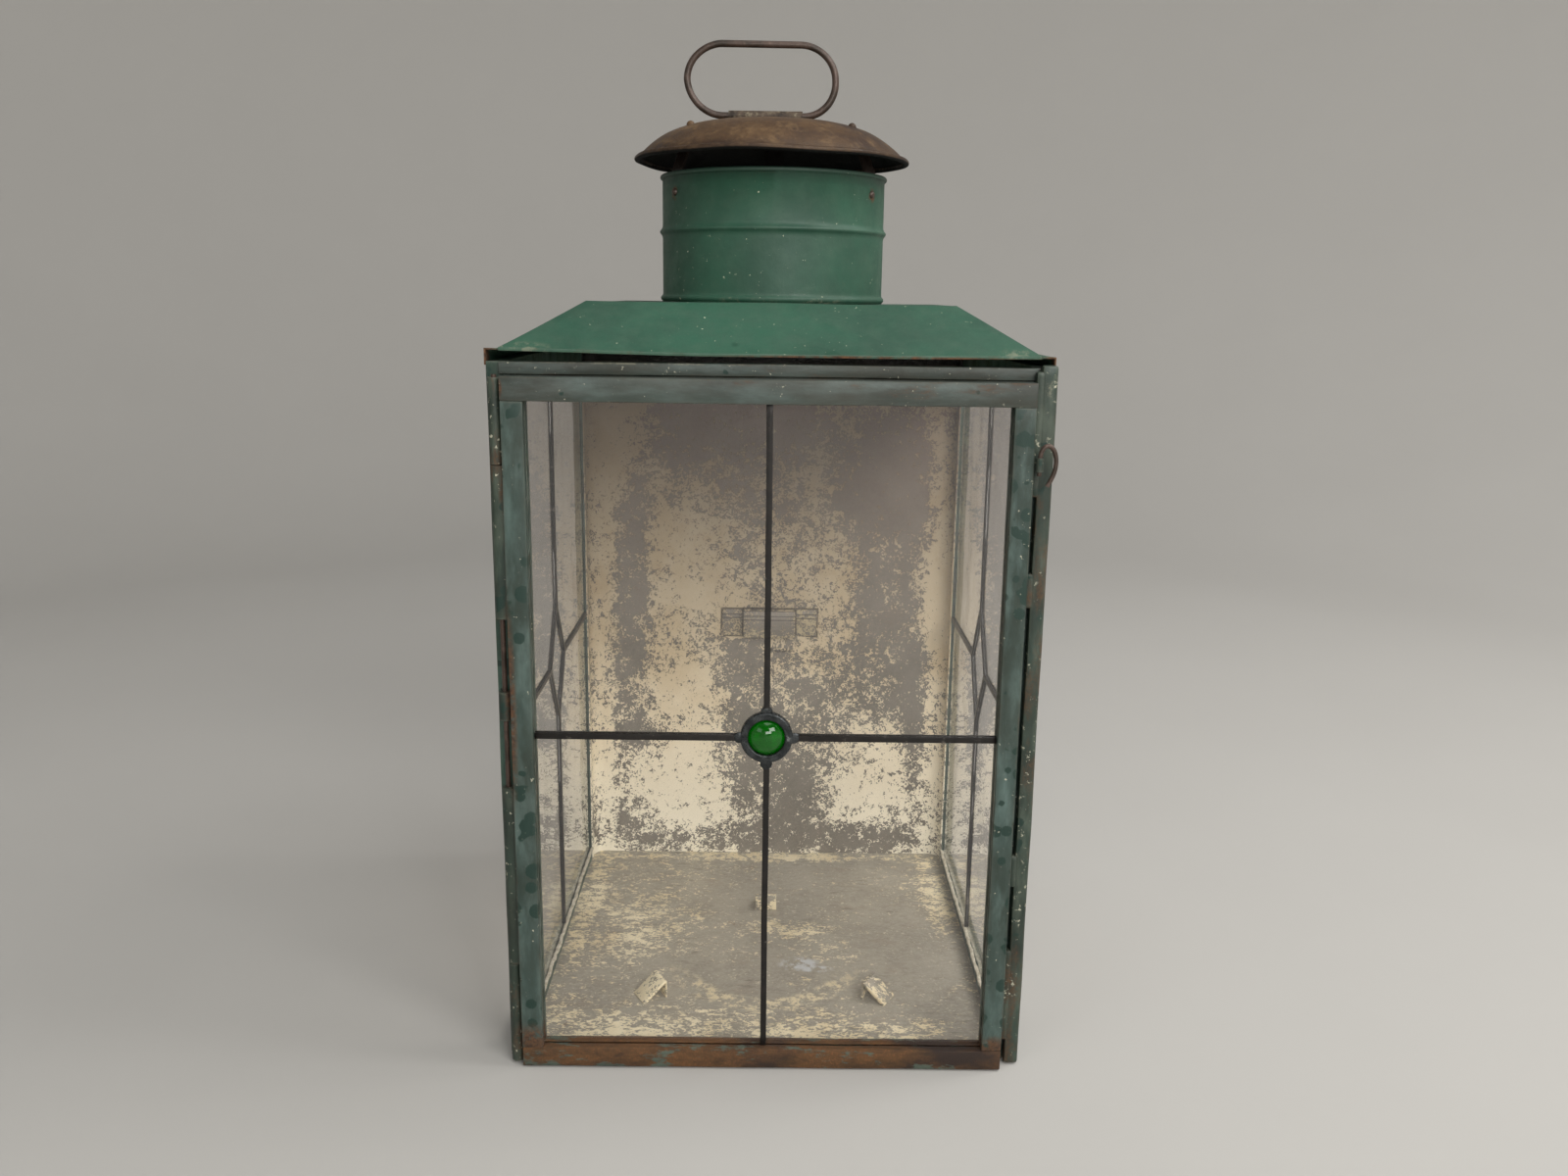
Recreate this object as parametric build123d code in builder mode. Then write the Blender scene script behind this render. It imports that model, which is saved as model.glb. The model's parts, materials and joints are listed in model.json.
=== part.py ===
from build123d import *
import os

# Barn lantern: square tin body, leaded door and side panes, hip roof, round chimney and rain cap.

os.makedirs("parts", exist_ok=True)

# Sizes in mm. X to the right, Y to the back, Z up; origin at the centre of the underside.
sheet = 0.8
body_w = 280.0
body_d = 268.0
body_h = 380.5
post_d = 14.5
front_post_w = 11.5
rear_post_w = 8.7
sill_h = 8.0
header_z = 366.0
header_d = 8.0
header_lap_z = 374.4

# Glass and lead
glass_t = 2.2
glass_slot = 2.6
glass_bite = 4.0
glass_x = 133.5
came_w = 3.2
came_t = 4.6
heart = 1.2
side_cross_z = 189.5
lozenge_y = 25.0
lozenge_z = 36.0

# Door
door_left = -131.2
door_right = 130.0
door_bottom = 1.0
door_top = 373.8
door_back = -134.5
door_t = 12.6
left_stile_w = 11.2
right_stile_w = 10.6
top_rail_h = 11.8
bottom_rail_h = 11.2
door_glass_y = -141.0
door_cross_z = 190.0
ring_r = 13.6
ring_in = 9.5
jewel_r = 9.45
jewel_rise = 5.0

# Hinge
pin_x = -134.8
pin_y = -141.0
pin_r = 1.3
knuckle_r = 3.2
knuckle_in = 1.36
body_knuckle_spans = [(2.0, 60.0), (198.0, 213.0), (330.5, 373.0)]
door_knuckle_spans = [(60.5, 161.0), (252.0, 330.0)]

# Rolled edge on the latch side
roll_x = 137.6
roll_y = -137.3
roll_r = 3.3
roll_in = 2.5
roll_wire_r = 1.2
roll_slots = [(5.0, 15.0), (69.0, 106.0), (124.0, 260.0), (278.0, 317.0)]

# Latch
hook_x = 132.4
hook_y = -148.8
hook_r = 1.15
eye_r = 1.8
eye_in = 1.21
eye_z = (331.0, 337.8)
hook_leg = (329.0, 338.8)
hook_w = 9.2
hook_bow = 40.0
hook_turn = 22.0

# Roof, chimney and cap
roof_z = 385.2
roof_front = -137.0
roof_rear = 128.0
roof_w = 268.0
deck_z = 409.7
deck_w = 192.0
deck_d = 186.0
flange_z = 377.0
slope_off = 1.67
collar_r = 64.0
collar_top = 479.0
bead_z = 449.0
stay_w = 12.0
stay_r = 62.8
stay_angles = [90.0, 212.0, 328.0]
stay_rivet_z = 469.0
cap_x = -1.5
cap_r = 78.2
cap_rim_z = 488.6
rim_wire = 1.6
cap_outer = [(0.0, 511.0), (26.0, 510.0), (46.0, 507.2), (60.0, 502.4), (71.0, 495.6), (77.8, 489.0)]
cap_inner = [(77.0, 488.9), (70.4, 495.0), (59.6, 501.7), (45.8, 506.4), (25.9, 509.2), (0.0, 510.2)]

# Handle
wire_r = 1.75
sleeve_x = -5.0
sleeve_l = 42.0
sleeve_r = 2.8
sleeve_in = 1.82
handle_x = -6.2
handle_z = 513.8
handle_rise = 38.8
handle_l = 84.3

# Fittings inside
strap_w = 69.0
strap_h = 19.6
strap_z = 172.0
strap_mid = 38.0
strap_rise = 7.5
clip_y = -33.0
clip_r = 71.5
clip_w = 14.5
clip_h = 11.0
clip_t = 0.8
clip_foot = 15.5

half_w = body_w / 2
half_d = body_d / 2
door_mid_x = (door_left + door_right) / 2
door_w = door_right - door_left
door_cy = door_back - door_t / 2
stile_bottom = door_bottom + bottom_rail_h
stile_top = door_top - top_rail_h
pane_left = door_left + left_stile_w
pane_right = door_right - right_stile_w
roof_cy = (roof_front + roof_rear) / 2
roof_l = roof_rear - roof_front

# ---- body ----
with BuildPart() as floor_pan:
    with BuildSketch():
        Rectangle(body_w, body_d)
    extrude(amount=sheet)
    with BuildSketch(Plane.XY.offset(sheet)):
        with Locations((0, -half_d + sheet / 2)):
            Rectangle(body_w - 2 * front_post_w, sheet)
    extrude(amount=sill_h)
floor_pan.part.label = "floor_pan"
export_step(floor_pan.part, "parts/floor_pan.step")

with BuildPart() as front_left_post:
    with BuildSketch(Plane.XY.offset(sheet)):
        with Locations((-half_w + front_post_w / 2, -half_d + post_d / 2)):
            Rectangle(front_post_w, post_d)
            Rectangle(front_post_w - 2 * sheet, post_d - 2 * sheet, mode=Mode.SUBTRACT)
        with Locations((-glass_x, -half_d + post_d)):
            Rectangle(glass_slot, 4 * sheet, mode=Mode.SUBTRACT)
    extrude(amount=body_h - sheet)
front_left_post.part.label = "front_left_post"
export_step(front_left_post.part, "parts/front_left_post.step")

with BuildPart() as front_right_post:
    mirror(front_left_post.part, about=Plane.YZ)
front_right_post.part.label = "front_right_post"
export_step(front_right_post.part, "parts/front_right_post.step")

with BuildPart() as rear_left_post:
    with BuildSketch(Plane.XY.offset(sheet)):
        with Locations((-half_w + rear_post_w / 2, half_d - post_d / 2)):
            Rectangle(rear_post_w, post_d)
            Rectangle(rear_post_w - 2 * sheet, post_d - 2 * sheet, mode=Mode.SUBTRACT)
        with Locations((-glass_x, half_d - post_d)):
            Rectangle(glass_slot, 4 * sheet, mode=Mode.SUBTRACT)
        with Locations((-half_w + rear_post_w, half_d)):
            Rectangle(12, sheet, align=(Align.MIN, Align.MAX))
    extrude(amount=body_h - sheet)
rear_left_post.part.label = "rear_left_post"
export_step(rear_left_post.part, "parts/rear_left_post.step")

with BuildPart() as rear_right_post:
    mirror(rear_left_post.part, about=Plane.YZ)
rear_right_post.part.label = "rear_right_post"
export_step(rear_right_post.part, "parts/rear_right_post.step")

with BuildPart() as back_panel:
    with BuildSketch(Plane.XY.offset(sheet)) as back_plan:
        with Locations((0, half_d - sheet)):
            Rectangle(body_w - 2 * rear_post_w, post_d - sheet, align=(Align.CENTER, Align.MAX))
        fillet(back_plan.vertices().group_by(Axis.Y)[-1], radius=9.4)
    extrude(amount=body_h - sheet)
    with BuildSketch(Plane.XY.offset(sheet)) as liner_plan:
        with Locations((0, half_d - 2 * sheet)):
            Rectangle(body_w - 2 * rear_post_w - 2 * sheet, post_d, align=(Align.CENTER, Align.MAX))
        fillet(liner_plan.vertices().group_by(Axis.Y)[-1], radius=8.6)
    extrude(amount=body_h - sheet, mode=Mode.SUBTRACT)
back_panel.part.label = "back_panel"
export_step(back_panel.part, "parts/back_panel.step")

with BuildPart() as left_sill:
    with BuildSketch(Plane.XZ):
        with Locations((-half_w + rear_post_w / 2, sheet + sill_h / 2)):
            Rectangle(rear_post_w, sill_h)
            Rectangle(rear_post_w - 2 * sheet, sill_h - 2 * sheet, mode=Mode.SUBTRACT)
        with Locations((-glass_x, sheet + sill_h)):
            Rectangle(glass_slot, 4 * sheet, mode=Mode.SUBTRACT)
    extrude(amount=half_d - post_d, both=True)
left_sill.part.label = "left_sill"
export_step(left_sill.part, "parts/left_sill.step")

with BuildPart() as right_sill:
    mirror(left_sill.part, about=Plane.YZ)
right_sill.part.label = "right_sill"
export_step(right_sill.part, "parts/right_sill.step")

with BuildPart() as left_header:
    with BuildSketch(Plane.XZ):
        with Locations((-half_w + rear_post_w / 2, (header_z + body_h) / 2)):
            Rectangle(rear_post_w, body_h - header_z)
            Rectangle(rear_post_w - 2 * sheet, body_h - header_z - 2 * sheet, mode=Mode.SUBTRACT)
        with Locations((-glass_x, header_z)):
            Rectangle(glass_slot, 4 * sheet, mode=Mode.SUBTRACT)
    extrude(amount=half_d - post_d, both=True)
left_header.part.label = "left_header"
export_step(left_header.part, "parts/left_header.step")

with BuildPart() as right_header:
    mirror(left_header.part, about=Plane.YZ)
right_header.part.label = "right_header"
export_step(right_header.part, "parts/right_header.step")

with BuildPart() as front_header:
    with BuildSketch(Plane.YZ):
        with Locations((-half_d + header_d / 2, (header_z + body_h) / 2)):
            Rectangle(header_d, body_h - header_z)
            Rectangle(header_d - 2 * sheet, body_h - header_z - 2 * sheet, mode=Mode.SUBTRACT)
    extrude(amount=half_w - front_post_w, both=True)
    with BuildSketch(Plane.XZ.offset(half_d)):
        with Locations((0, (header_lap_z + body_h) / 2)):
            Rectangle(267, body_h - header_lap_z)
    extrude(amount=2 * sheet)
front_header.part.label = "front_header"
export_step(front_header.part, "parts/front_header.step")

# ---- side panes: four clear pieces and a lozenge, in lead ----
side_pane_h = header_z - sill_h - sheet + 2 * glass_bite
side_pane_cz = (header_z + sill_h + sheet) / 2
side_pane_w = body_d - 2 * post_d + 2 * glass_bite
side_came_h = header_z - sill_h - sheet
side_came_w = body_d - 2 * post_d
lozenge = [(lozenge_y, 0), (0, lozenge_z), (-lozenge_y, 0), (0, -lozenge_z)]
loz_out = [(x * 1.029, y * 1.029) for x, y in lozenge]
loz_in = [(x * 0.971, y * 0.971) for x, y in lozenge]
loz_lead_out = [(x * 1.078, y * 1.078) for x, y in lozenge]
loz_lead_in = [(x * 0.922, y * 0.922) for x, y in lozenge]
loz_slot_out = [(x * 1.026, y * 1.026) for x, y in lozenge]
loz_slot_in = [(x * 0.974, y * 0.974) for x, y in lozenge]

with BuildPart() as left_glass:
    with BuildSketch(Plane.YZ.offset(-glass_x)):
        with Locations((0, side_pane_cz)):
            Rectangle(side_pane_w, side_pane_h)
            Rectangle(heart, side_pane_h, mode=Mode.SUBTRACT)
        with Locations((0, side_cross_z)):
            Rectangle(side_pane_w, heart, mode=Mode.SUBTRACT)
            Polygon(*loz_out, align=None, mode=Mode.SUBTRACT)
            Polygon(*loz_in, align=None)
    extrude(amount=glass_t / 2, both=True)
left_glass.part.label = "left_glass"
export_step(left_glass.part, "parts/left_glass.step")

with BuildPart() as right_glass:
    mirror(left_glass.part, about=Plane.YZ)
right_glass.part.label = "right_glass"
export_step(right_glass.part, "parts/right_glass.step")

with BuildPart() as left_cames:
    with BuildSketch(Plane.YZ.offset(-glass_x)):
        with Locations((0, side_pane_cz)):
            Rectangle(came_w, side_came_h)
        with Locations((0, side_cross_z)):
            Rectangle(side_came_w, came_w)
            Polygon(*loz_lead_out, align=None)
            Polygon(*loz_lead_in, align=None, mode=Mode.SUBTRACT)
    extrude(amount=came_t / 2, both=True)
    with BuildSketch(Plane.YZ.offset(-glass_x)):
        with Locations((0, side_pane_cz)):
            Rectangle(side_pane_w, side_pane_h)
            Rectangle(heart - 0.1, side_pane_h, mode=Mode.SUBTRACT)
        with Locations((0, side_cross_z)):
            Rectangle(side_pane_w, heart - 0.1, mode=Mode.SUBTRACT)
            Polygon(*loz_slot_out, align=None, mode=Mode.SUBTRACT)
            Polygon(*loz_slot_in, align=None)
    extrude(amount=glass_t / 2 + 0.05, both=True, mode=Mode.SUBTRACT)
left_cames.part.label = "left_cames"
export_step(left_cames.part, "parts/left_cames.step")

with BuildPart() as right_cames:
    mirror(left_cames.part, about=Plane.YZ)
right_cames.part.label = "right_cames"
export_step(right_cames.part, "parts/right_cames.step")

# ---- fittings inside ----
with BuildPart() as reflector_strap:
    with BuildSketch(Plane.XY.offset(strap_z)):
        with Locations((0, half_d - 2 * sheet)):
            Rectangle(strap_w, 1.0, align=(Align.CENTER, Align.MAX))
            Rectangle(strap_mid, strap_rise, align=(Align.CENTER, Align.MAX))
            Rectangle(strap_mid - 2, strap_rise - 1, align=(Align.CENTER, Align.MAX), mode=Mode.SUBTRACT)
    extrude(amount=strap_h)
reflector_strap.part.label = "reflector_strap"
export_step(reflector_strap.part, "parts/reflector_strap.step")

with BuildPart() as font_clip_rear:
    with BuildSketch(Plane.YZ):
        with BuildLine():
            Polyline(
                (clip_y + clip_r, sheet),
                (clip_y + clip_r, sheet + clip_h),
                (clip_y + clip_r + 2.0, sheet + clip_h),
                (clip_y + clip_r + clip_foot, sheet + clip_t),
                (clip_y + clip_r + clip_foot, sheet),
                (clip_y + clip_r + clip_foot - 2.0, sheet),
                (clip_y + clip_r + clip_t, sheet + clip_h - 1.0),
                (clip_y + clip_r + clip_t, sheet),
                close=True,
            )
        make_face()
    extrude(amount=clip_w / 2, both=True)
font_clip_rear.part.label = "font_clip_rear"
export_step(font_clip_rear.part, "parts/font_clip_rear.step")

clip_axis = Axis((0, clip_y, 0), (0, 0, 1))
with BuildPart() as font_clip_left:
    add(font_clip_rear.part.rotate(clip_axis, 120))
font_clip_left.part.label = "font_clip_left"
export_step(font_clip_left.part, "parts/font_clip_left.step")

with BuildPart() as font_clip_right:
    add(font_clip_rear.part.rotate(clip_axis, -120))
font_clip_right.part.label = "font_clip_right"
export_step(font_clip_right.part, "parts/font_clip_right.step")

# ---- roof and chimney ----
with BuildPart() as roof:
    with BuildSketch(Plane.XY.offset(roof_z)):
        with Locations((0, roof_cy)):
            Rectangle(roof_w, roof_l)
    with BuildSketch(Plane.XY.offset(deck_z)):
        Rectangle(deck_w, deck_d)
    loft()
    with BuildSketch(Plane.XY.offset(roof_z)):
        with Locations((0, roof_cy)):
            Rectangle(roof_w - 2 * slope_off, roof_l - 2 * slope_off)
    with BuildSketch(Plane.XY.offset(deck_z - sheet)):
        Rectangle(deck_w - 0.4, deck_d - 0.4)
    loft(mode=Mode.SUBTRACT)
    with BuildSketch(Plane.XY.offset(roof_z - sheet)):
        with Locations((0, sheet / 2)):
            Rectangle(body_w + 2 * sheet, body_d + sheet)
        with Locations((0, (roof_rear - slope_off - half_d) / 2)):
            Rectangle(roof_w - 2 * slope_off, roof_rear - slope_off + half_d, mode=Mode.SUBTRACT)
    extrude(amount=sheet)
    with BuildSketch(Plane.XY.offset(flange_z)):
        with Locations((0, sheet / 2)):
            Rectangle(body_w + 2 * sheet, body_d + sheet)
        Rectangle(body_w, body_d, mode=Mode.SUBTRACT)
    extrude(amount=roof_z - flange_z)
    with BuildSketch(Plane.XY.offset(roof_z - 1.0)):
        with Locations((0, roof_front + 0.9)):
            Rectangle(roof_w - 2, 2.6)
    extrude(amount=1.6)
    with BuildSketch(Plane.XY.offset(deck_z - 4)):
        Circle(collar_r - sheet - 0.4)
    extrude(amount=8, mode=Mode.SUBTRACT)
roof.part.label = "roof"
export_step(roof.part, "parts/roof.step")

with BuildPart() as collar:
    with BuildSketch(Plane.XZ):
        with Locations((collar_r - sheet, deck_z)):
            Rectangle(sheet, collar_top - deck_z, align=(Align.MIN, Align.MIN))
        with Locations((collar_r - 0.5, bead_z), (collar_r - 0.5, deck_z + 2.2)):
            Circle(1.8)
        with Locations((collar_r, collar_top)):
            Circle(1.3)
    revolve(axis=Axis.Z)
    with BuildSketch(Plane.XY.offset(deck_z)):
        Circle(collar_r - sheet)
    extrude(amount=2 * (collar_top - deck_z), mode=Mode.SUBTRACT)
collar.part.label = "collar"
export_step(collar.part, "parts/collar.step")

with BuildPart() as cap:
    with BuildSketch(Plane.XZ):
        with BuildLine():
            Spline(*cap_outer, tangents=((1, 0), (0.55, -0.83)))
            Line(cap_outer[-1], cap_inner[0])
            Spline(*cap_inner, tangents=((-0.55, 0.83), (-1, 0)))
            Line(cap_inner[-1], cap_outer[0])
        make_face()
    revolve(axis=Axis.Z)
    with BuildSketch(Plane.XZ):
        with Locations((cap_r, cap_rim_z)):
            Circle(rim_wire)
    revolve(axis=Axis.Z)
cap.part.position = (cap_x, 0, 0)
cap.part.label = "cap"
export_step(cap.part, "parts/cap.step")

with BuildPart() as cap_stays:
    with BuildSketch(Plane.XZ):
        with BuildLine():
            Polyline(
                (stay_r, 458),
                (stay_r, 481),
                (54.6, 501.6),
                (45.5, 504.3),
                (45.2, 503.3),
                (53.9, 500.7),
                (stay_r - 1, 480.6),
                (stay_r - 1, 458),
                close=True,
            )
        make_face()
    extrude(amount=stay_w / 2, both=True)
    one_stay = cap_stays.part.rotate(Axis.Z, stay_angles[0])
    add(cap_stays.part.rotate(Axis.Z, stay_angles[1]), mode=Mode.REPLACE)
    add(one_stay)
    add(one_stay.rotate(Axis.Z, stay_angles[2] - stay_angles[0]))
cap_stays.part.label = "cap_stays"
export_step(cap_stays.part, "parts/cap_stays.step")

with BuildPart() as collar_rivets:
    for angle in stay_angles:
        with Locations(Location((0, 0, 0), (0, 0, angle)) * Location((collar_r - 0.4, 0, stay_rivet_z))):
            Sphere(2.1)
    add(collar.part, mode=Mode.SUBTRACT)
    with BuildSketch(Plane.XY.offset(stay_rivet_z - 5)):
        Circle(collar_r - 0.4)
    extrude(amount=10, mode=Mode.SUBTRACT)
collar_rivets.part.label = "collar_rivets"
export_step(collar_rivets.part, "parts/collar_rivets.step")

with BuildPart() as cap_solid:
    with BuildSketch(Plane.XZ):
        with BuildLine():
            Spline(*cap_outer, tangents=((1, 0), (0.55, -0.83)))
            Line(cap_outer[-1], (cap_outer[-1][0], 480))
            Line((cap_outer[-1][0], 480), (0, 480))
            Line((0, 480), cap_outer[0])
        make_face()
    revolve(axis=Axis.Z)
cap_solid.part.position = (cap_x, 0, 0)

with BuildPart() as cap_rivets:
    for angle in stay_angles:
        with Locations(Location((cap_x, 0, 0), (0, 0, angle)) * Location((52.5, 0, 505.0))):
            Sphere(2.3)
    add(cap_solid.part, mode=Mode.SUBTRACT)
cap_rivets.part.label = "cap_rivets"
export_step(cap_rivets.part, "parts/cap_rivets.step")

# ---- handle ----
reach = (handle_l - handle_rise) / 2
with BuildPart() as handle_sleeve:
    with BuildSketch(Plane.YZ.offset(sleeve_x)):
        with Locations((0, handle_z)):
            Circle(sleeve_r)
        with Locations((0, handle_z - sleeve_r)):
            Rectangle(4.4, 2 * sleeve_r)
    extrude(amount=sleeve_l / 2, both=True)
    with BuildSketch(Plane.YZ.offset(sleeve_x)):
        with Locations((0, handle_z)):
            Circle(sleeve_in)
    extrude(amount=sleeve_l / 2, both=True, mode=Mode.SUBTRACT)
    add(cap_solid.part, mode=Mode.SUBTRACT)
handle_sleeve.part.label = "handle_sleeve"
export_step(handle_sleeve.part, "parts/handle_sleeve.step")

with BuildPart() as handle:
    with BuildLine(Plane.XZ) as handle_line:
        Line((handle_x - reach, handle_z), (handle_x + reach, handle_z))
        RadiusArc((handle_x + reach, handle_z), (handle_x + reach, handle_z + handle_rise), -handle_rise / 2)
        Line((handle_x + reach, handle_z + handle_rise), (handle_x - reach, handle_z + handle_rise))
        RadiusArc((handle_x - reach, handle_z + handle_rise), (handle_x - reach, handle_z), -handle_rise / 2)
    with BuildSketch(Plane.YZ.offset(handle_x)):
        with Locations((0, handle_z)):
            Circle(wire_r)
    sweep(path=handle_line.wires()[0])
handle.part.label = "handle"
export_step(handle.part, "parts/handle.step")

# ---- door ----
with BuildPart() as door_left_stile:
    with BuildSketch(Plane.XY.offset(stile_bottom)):
        with Locations((door_left + left_stile_w / 2, door_cy)):
            Rectangle(left_stile_w, door_t)
            Rectangle(left_stile_w - 2 * sheet, door_t - 2 * sheet, mode=Mode.SUBTRACT)
        with Locations((pane_left, door_glass_y)):
            Rectangle(4 * sheet, glass_slot, mode=Mode.SUBTRACT)
    extrude(amount=stile_top - stile_bottom)
door_left_stile.part.label = "door_left_stile"
export_step(door_left_stile.part, "parts/door_left_stile.step")

with BuildPart() as door_right_stile:
    with BuildSketch(Plane.XY.offset(stile_bottom)):
        with Locations((door_right - right_stile_w / 2, door_cy)):
            Rectangle(right_stile_w, door_t)
            Rectangle(right_stile_w - 2 * sheet, door_t - 2 * sheet, mode=Mode.SUBTRACT)
        with Locations((pane_right, door_glass_y)):
            Rectangle(4 * sheet, glass_slot, mode=Mode.SUBTRACT)
    extrude(amount=stile_top - stile_bottom)
door_right_stile.part.label = "door_right_stile"
export_step(door_right_stile.part, "parts/door_right_stile.step")

with BuildPart() as door_top_rail:
    with Locations((door_mid_x, door_cy, door_top - top_rail_h / 2)):
        Box(door_w, door_t, top_rail_h)
        Box(door_w - 2 * sheet, door_t - 2 * sheet, top_rail_h - 2 * sheet, mode=Mode.SUBTRACT)
    with Locations(((pane_left + pane_right) / 2, door_glass_y, stile_top)):
        Box(pane_right - pane_left + 2 * glass_bite, glass_slot, 4 * sheet, mode=Mode.SUBTRACT)
door_top_rail.part.label = "door_top_rail"
export_step(door_top_rail.part, "parts/door_top_rail.step")

with BuildPart() as door_bottom_rail:
    with Locations((door_mid_x, door_cy, door_bottom + bottom_rail_h / 2)):
        Box(door_w, door_t, bottom_rail_h)
        Box(door_w - 2 * sheet, door_t - 2 * sheet, bottom_rail_h - 2 * sheet, mode=Mode.SUBTRACT)
    with Locations(((pane_left + pane_right) / 2, door_glass_y, stile_bottom)):
        Box(pane_right - pane_left + 2 * glass_bite, glass_slot, 4 * sheet, mode=Mode.SUBTRACT)
door_bottom_rail.part.label = "door_bottom_rail"
export_step(door_bottom_rail.part, "parts/door_bottom_rail.step")

door_pane_w = pane_right - pane_left + 2 * glass_bite
door_pane_h = stile_top - stile_bottom + 2 * glass_bite
door_pane_cx = (pane_left + pane_right) / 2
door_pane_cz = (stile_top + stile_bottom) / 2

with BuildPart() as door_glass:
    with BuildSketch(Plane.XZ.offset(-door_glass_y)):
        with Locations((door_pane_cx, door_pane_cz)):
            Rectangle(door_pane_w, door_pane_h)
        with Locations((0, door_pane_cz)):
            Rectangle(heart, door_pane_h, mode=Mode.SUBTRACT)
        with Locations((door_pane_cx, door_cross_z)):
            Rectangle(door_pane_w, heart, mode=Mode.SUBTRACT)
        with Locations((0, door_cross_z)):
            Circle(ring_r - 1.3, mode=Mode.SUBTRACT)
    extrude(amount=glass_t / 2, both=True)
door_glass.part.label = "door_glass"
export_step(door_glass.part, "parts/door_glass.step")

with BuildPart() as door_cames:
    with BuildSketch(Plane.XZ.offset(-door_glass_y)):
        with Locations((0, door_pane_cz)):
            Rectangle(came_w, stile_top - stile_bottom)
        with Locations((door_pane_cx, door_cross_z)):
            Rectangle(pane_right - pane_left, came_w)
        with Locations((0, door_cross_z)):
            Circle(ring_r, mode=Mode.SUBTRACT)
    extrude(amount=came_t / 2, both=True)
    with BuildSketch(Plane.XZ.offset(-door_glass_y)):
        with Locations((door_pane_cx, door_pane_cz)):
            Rectangle(door_pane_w, door_pane_h)
        with Locations((0, door_pane_cz)):
            Rectangle(heart - 0.1, door_pane_h, mode=Mode.SUBTRACT)
        with Locations((door_pane_cx, door_cross_z)):
            Rectangle(door_pane_w, heart - 0.1, mode=Mode.SUBTRACT)
    extrude(amount=glass_t / 2 + 0.05, both=True, mode=Mode.SUBTRACT)
door_cames.part.label = "door_cames"
export_step(door_cames.part, "parts/door_cames.step")

with BuildPart() as jewel_ring:
    with BuildSketch(Plane.XZ.offset(-door_glass_y)):
        with Locations((0, door_cross_z)):
            Circle(ring_r)
            Circle(ring_in, mode=Mode.SUBTRACT)
    extrude(amount=2.8, both=True)
    fillet(jewel_ring.edges().filter_by(GeomType.CIRCLE), radius=0.9)
    with BuildSketch(Plane.XZ.offset(-door_glass_y)):
        with Locations((0, door_cross_z)):
            Circle(ring_r + 1)
            Circle(ring_r - 1.35, mode=Mode.SUBTRACT)
    extrude(amount=glass_t / 2 + 0.05, both=True, mode=Mode.SUBTRACT)
jewel_ring.part.label = "jewel_ring"
export_step(jewel_ring.part, "parts/jewel_ring.step")

with BuildPart() as jewel:
    with BuildSketch(Plane.YZ):
        with BuildLine():
            Line((door_glass_y + 2.4, door_cross_z), (door_glass_y + 2.4, door_cross_z + 8.2))
            Line((door_glass_y + 2.4, door_cross_z + 8.2), (door_glass_y + 1.2, door_cross_z + jewel_r))
            Line((door_glass_y + 1.2, door_cross_z + jewel_r), (door_glass_y - 1.2, door_cross_z + jewel_r))
            TangentArc(
                (door_glass_y - 1.2 - jewel_rise, door_cross_z),
                (door_glass_y - 1.2, door_cross_z + jewel_r),
                tangent=(0, 1),
            )
            Line((door_glass_y - 1.2 - jewel_rise, door_cross_z), (door_glass_y + 2.4, door_cross_z))
        make_face()
    revolve(axis=Axis((0, 0, door_cross_z), (0, 1, 0)))
jewel.part.label = "jewel"
export_step(jewel.part, "parts/jewel.step")

# ---- hinge ----
with BuildPart() as body_knuckles:
    for low, high in body_knuckle_spans:
        with BuildSketch(Plane.XY.offset(low)):
            with Locations((pin_x, pin_y)):
                Circle(knuckle_r)
            with Locations((pin_x - knuckle_r, pin_y)):
                Rectangle(sheet, -half_d - pin_y, align=(Align.MIN, Align.MIN))
            with Locations((pin_x, pin_y)):
                Circle(knuckle_in, mode=Mode.SUBTRACT)
        extrude(amount=high - low)
body_knuckles.part.label = "body_knuckles"
export_step(body_knuckles.part, "parts/body_knuckles.step")

with BuildPart() as door_knuckles:
    for low, high in door_knuckle_spans:
        with BuildSketch(Plane.XY.offset(low)):
            with Locations((pin_x, pin_y)):
                Circle(knuckle_r)
            with Locations((pin_x, pin_y - knuckle_r)):
                Rectangle(door_left - pin_x, sheet, align=(Align.MIN, Align.MIN))
            with Locations((pin_x, pin_y)):
                Circle(knuckle_in, mode=Mode.SUBTRACT)
        extrude(amount=high - low)
door_knuckles.part.label = "door_knuckles"
export_step(door_knuckles.part, "parts/door_knuckles.step")

with BuildPart() as hinge_pin:
    with BuildSketch(Plane.XY.offset(1.0)):
        with Locations((pin_x, pin_y)):
            Circle(pin_r)
    extrude(amount=373.4)
hinge_pin.part.label = "hinge_pin"
export_step(hinge_pin.part, "parts/hinge_pin.step")

# ---- latch side ----
with BuildPart() as rolled_edge:
    with BuildSketch(Plane.XY.offset(sheet)):
        with Locations((roll_x, roll_y)):
            Circle(roll_r)
            Circle(roll_in, mode=Mode.SUBTRACT)
    extrude(amount=body_h + 1.5 - sheet)
    for low, high in roll_slots:
        with Locations((roll_x - roll_r, roll_y, (low + high) / 2)):
            Box(2 * roll_r, 3.4, high - low, mode=Mode.SUBTRACT)
rolled_edge.part.label = "rolled_edge"
export_step(rolled_edge.part, "parts/rolled_edge.step")

with BuildPart() as edge_wire:
    with BuildSketch(Plane.XY.offset(sheet)):
        with Locations((roll_x - (roll_in - roll_wire_r), roll_y)):
            Circle(roll_wire_r)
    extrude(amount=body_h - sheet)
edge_wire.part.label = "edge_wire"
export_step(edge_wire.part, "parts/edge_wire.step")

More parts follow.
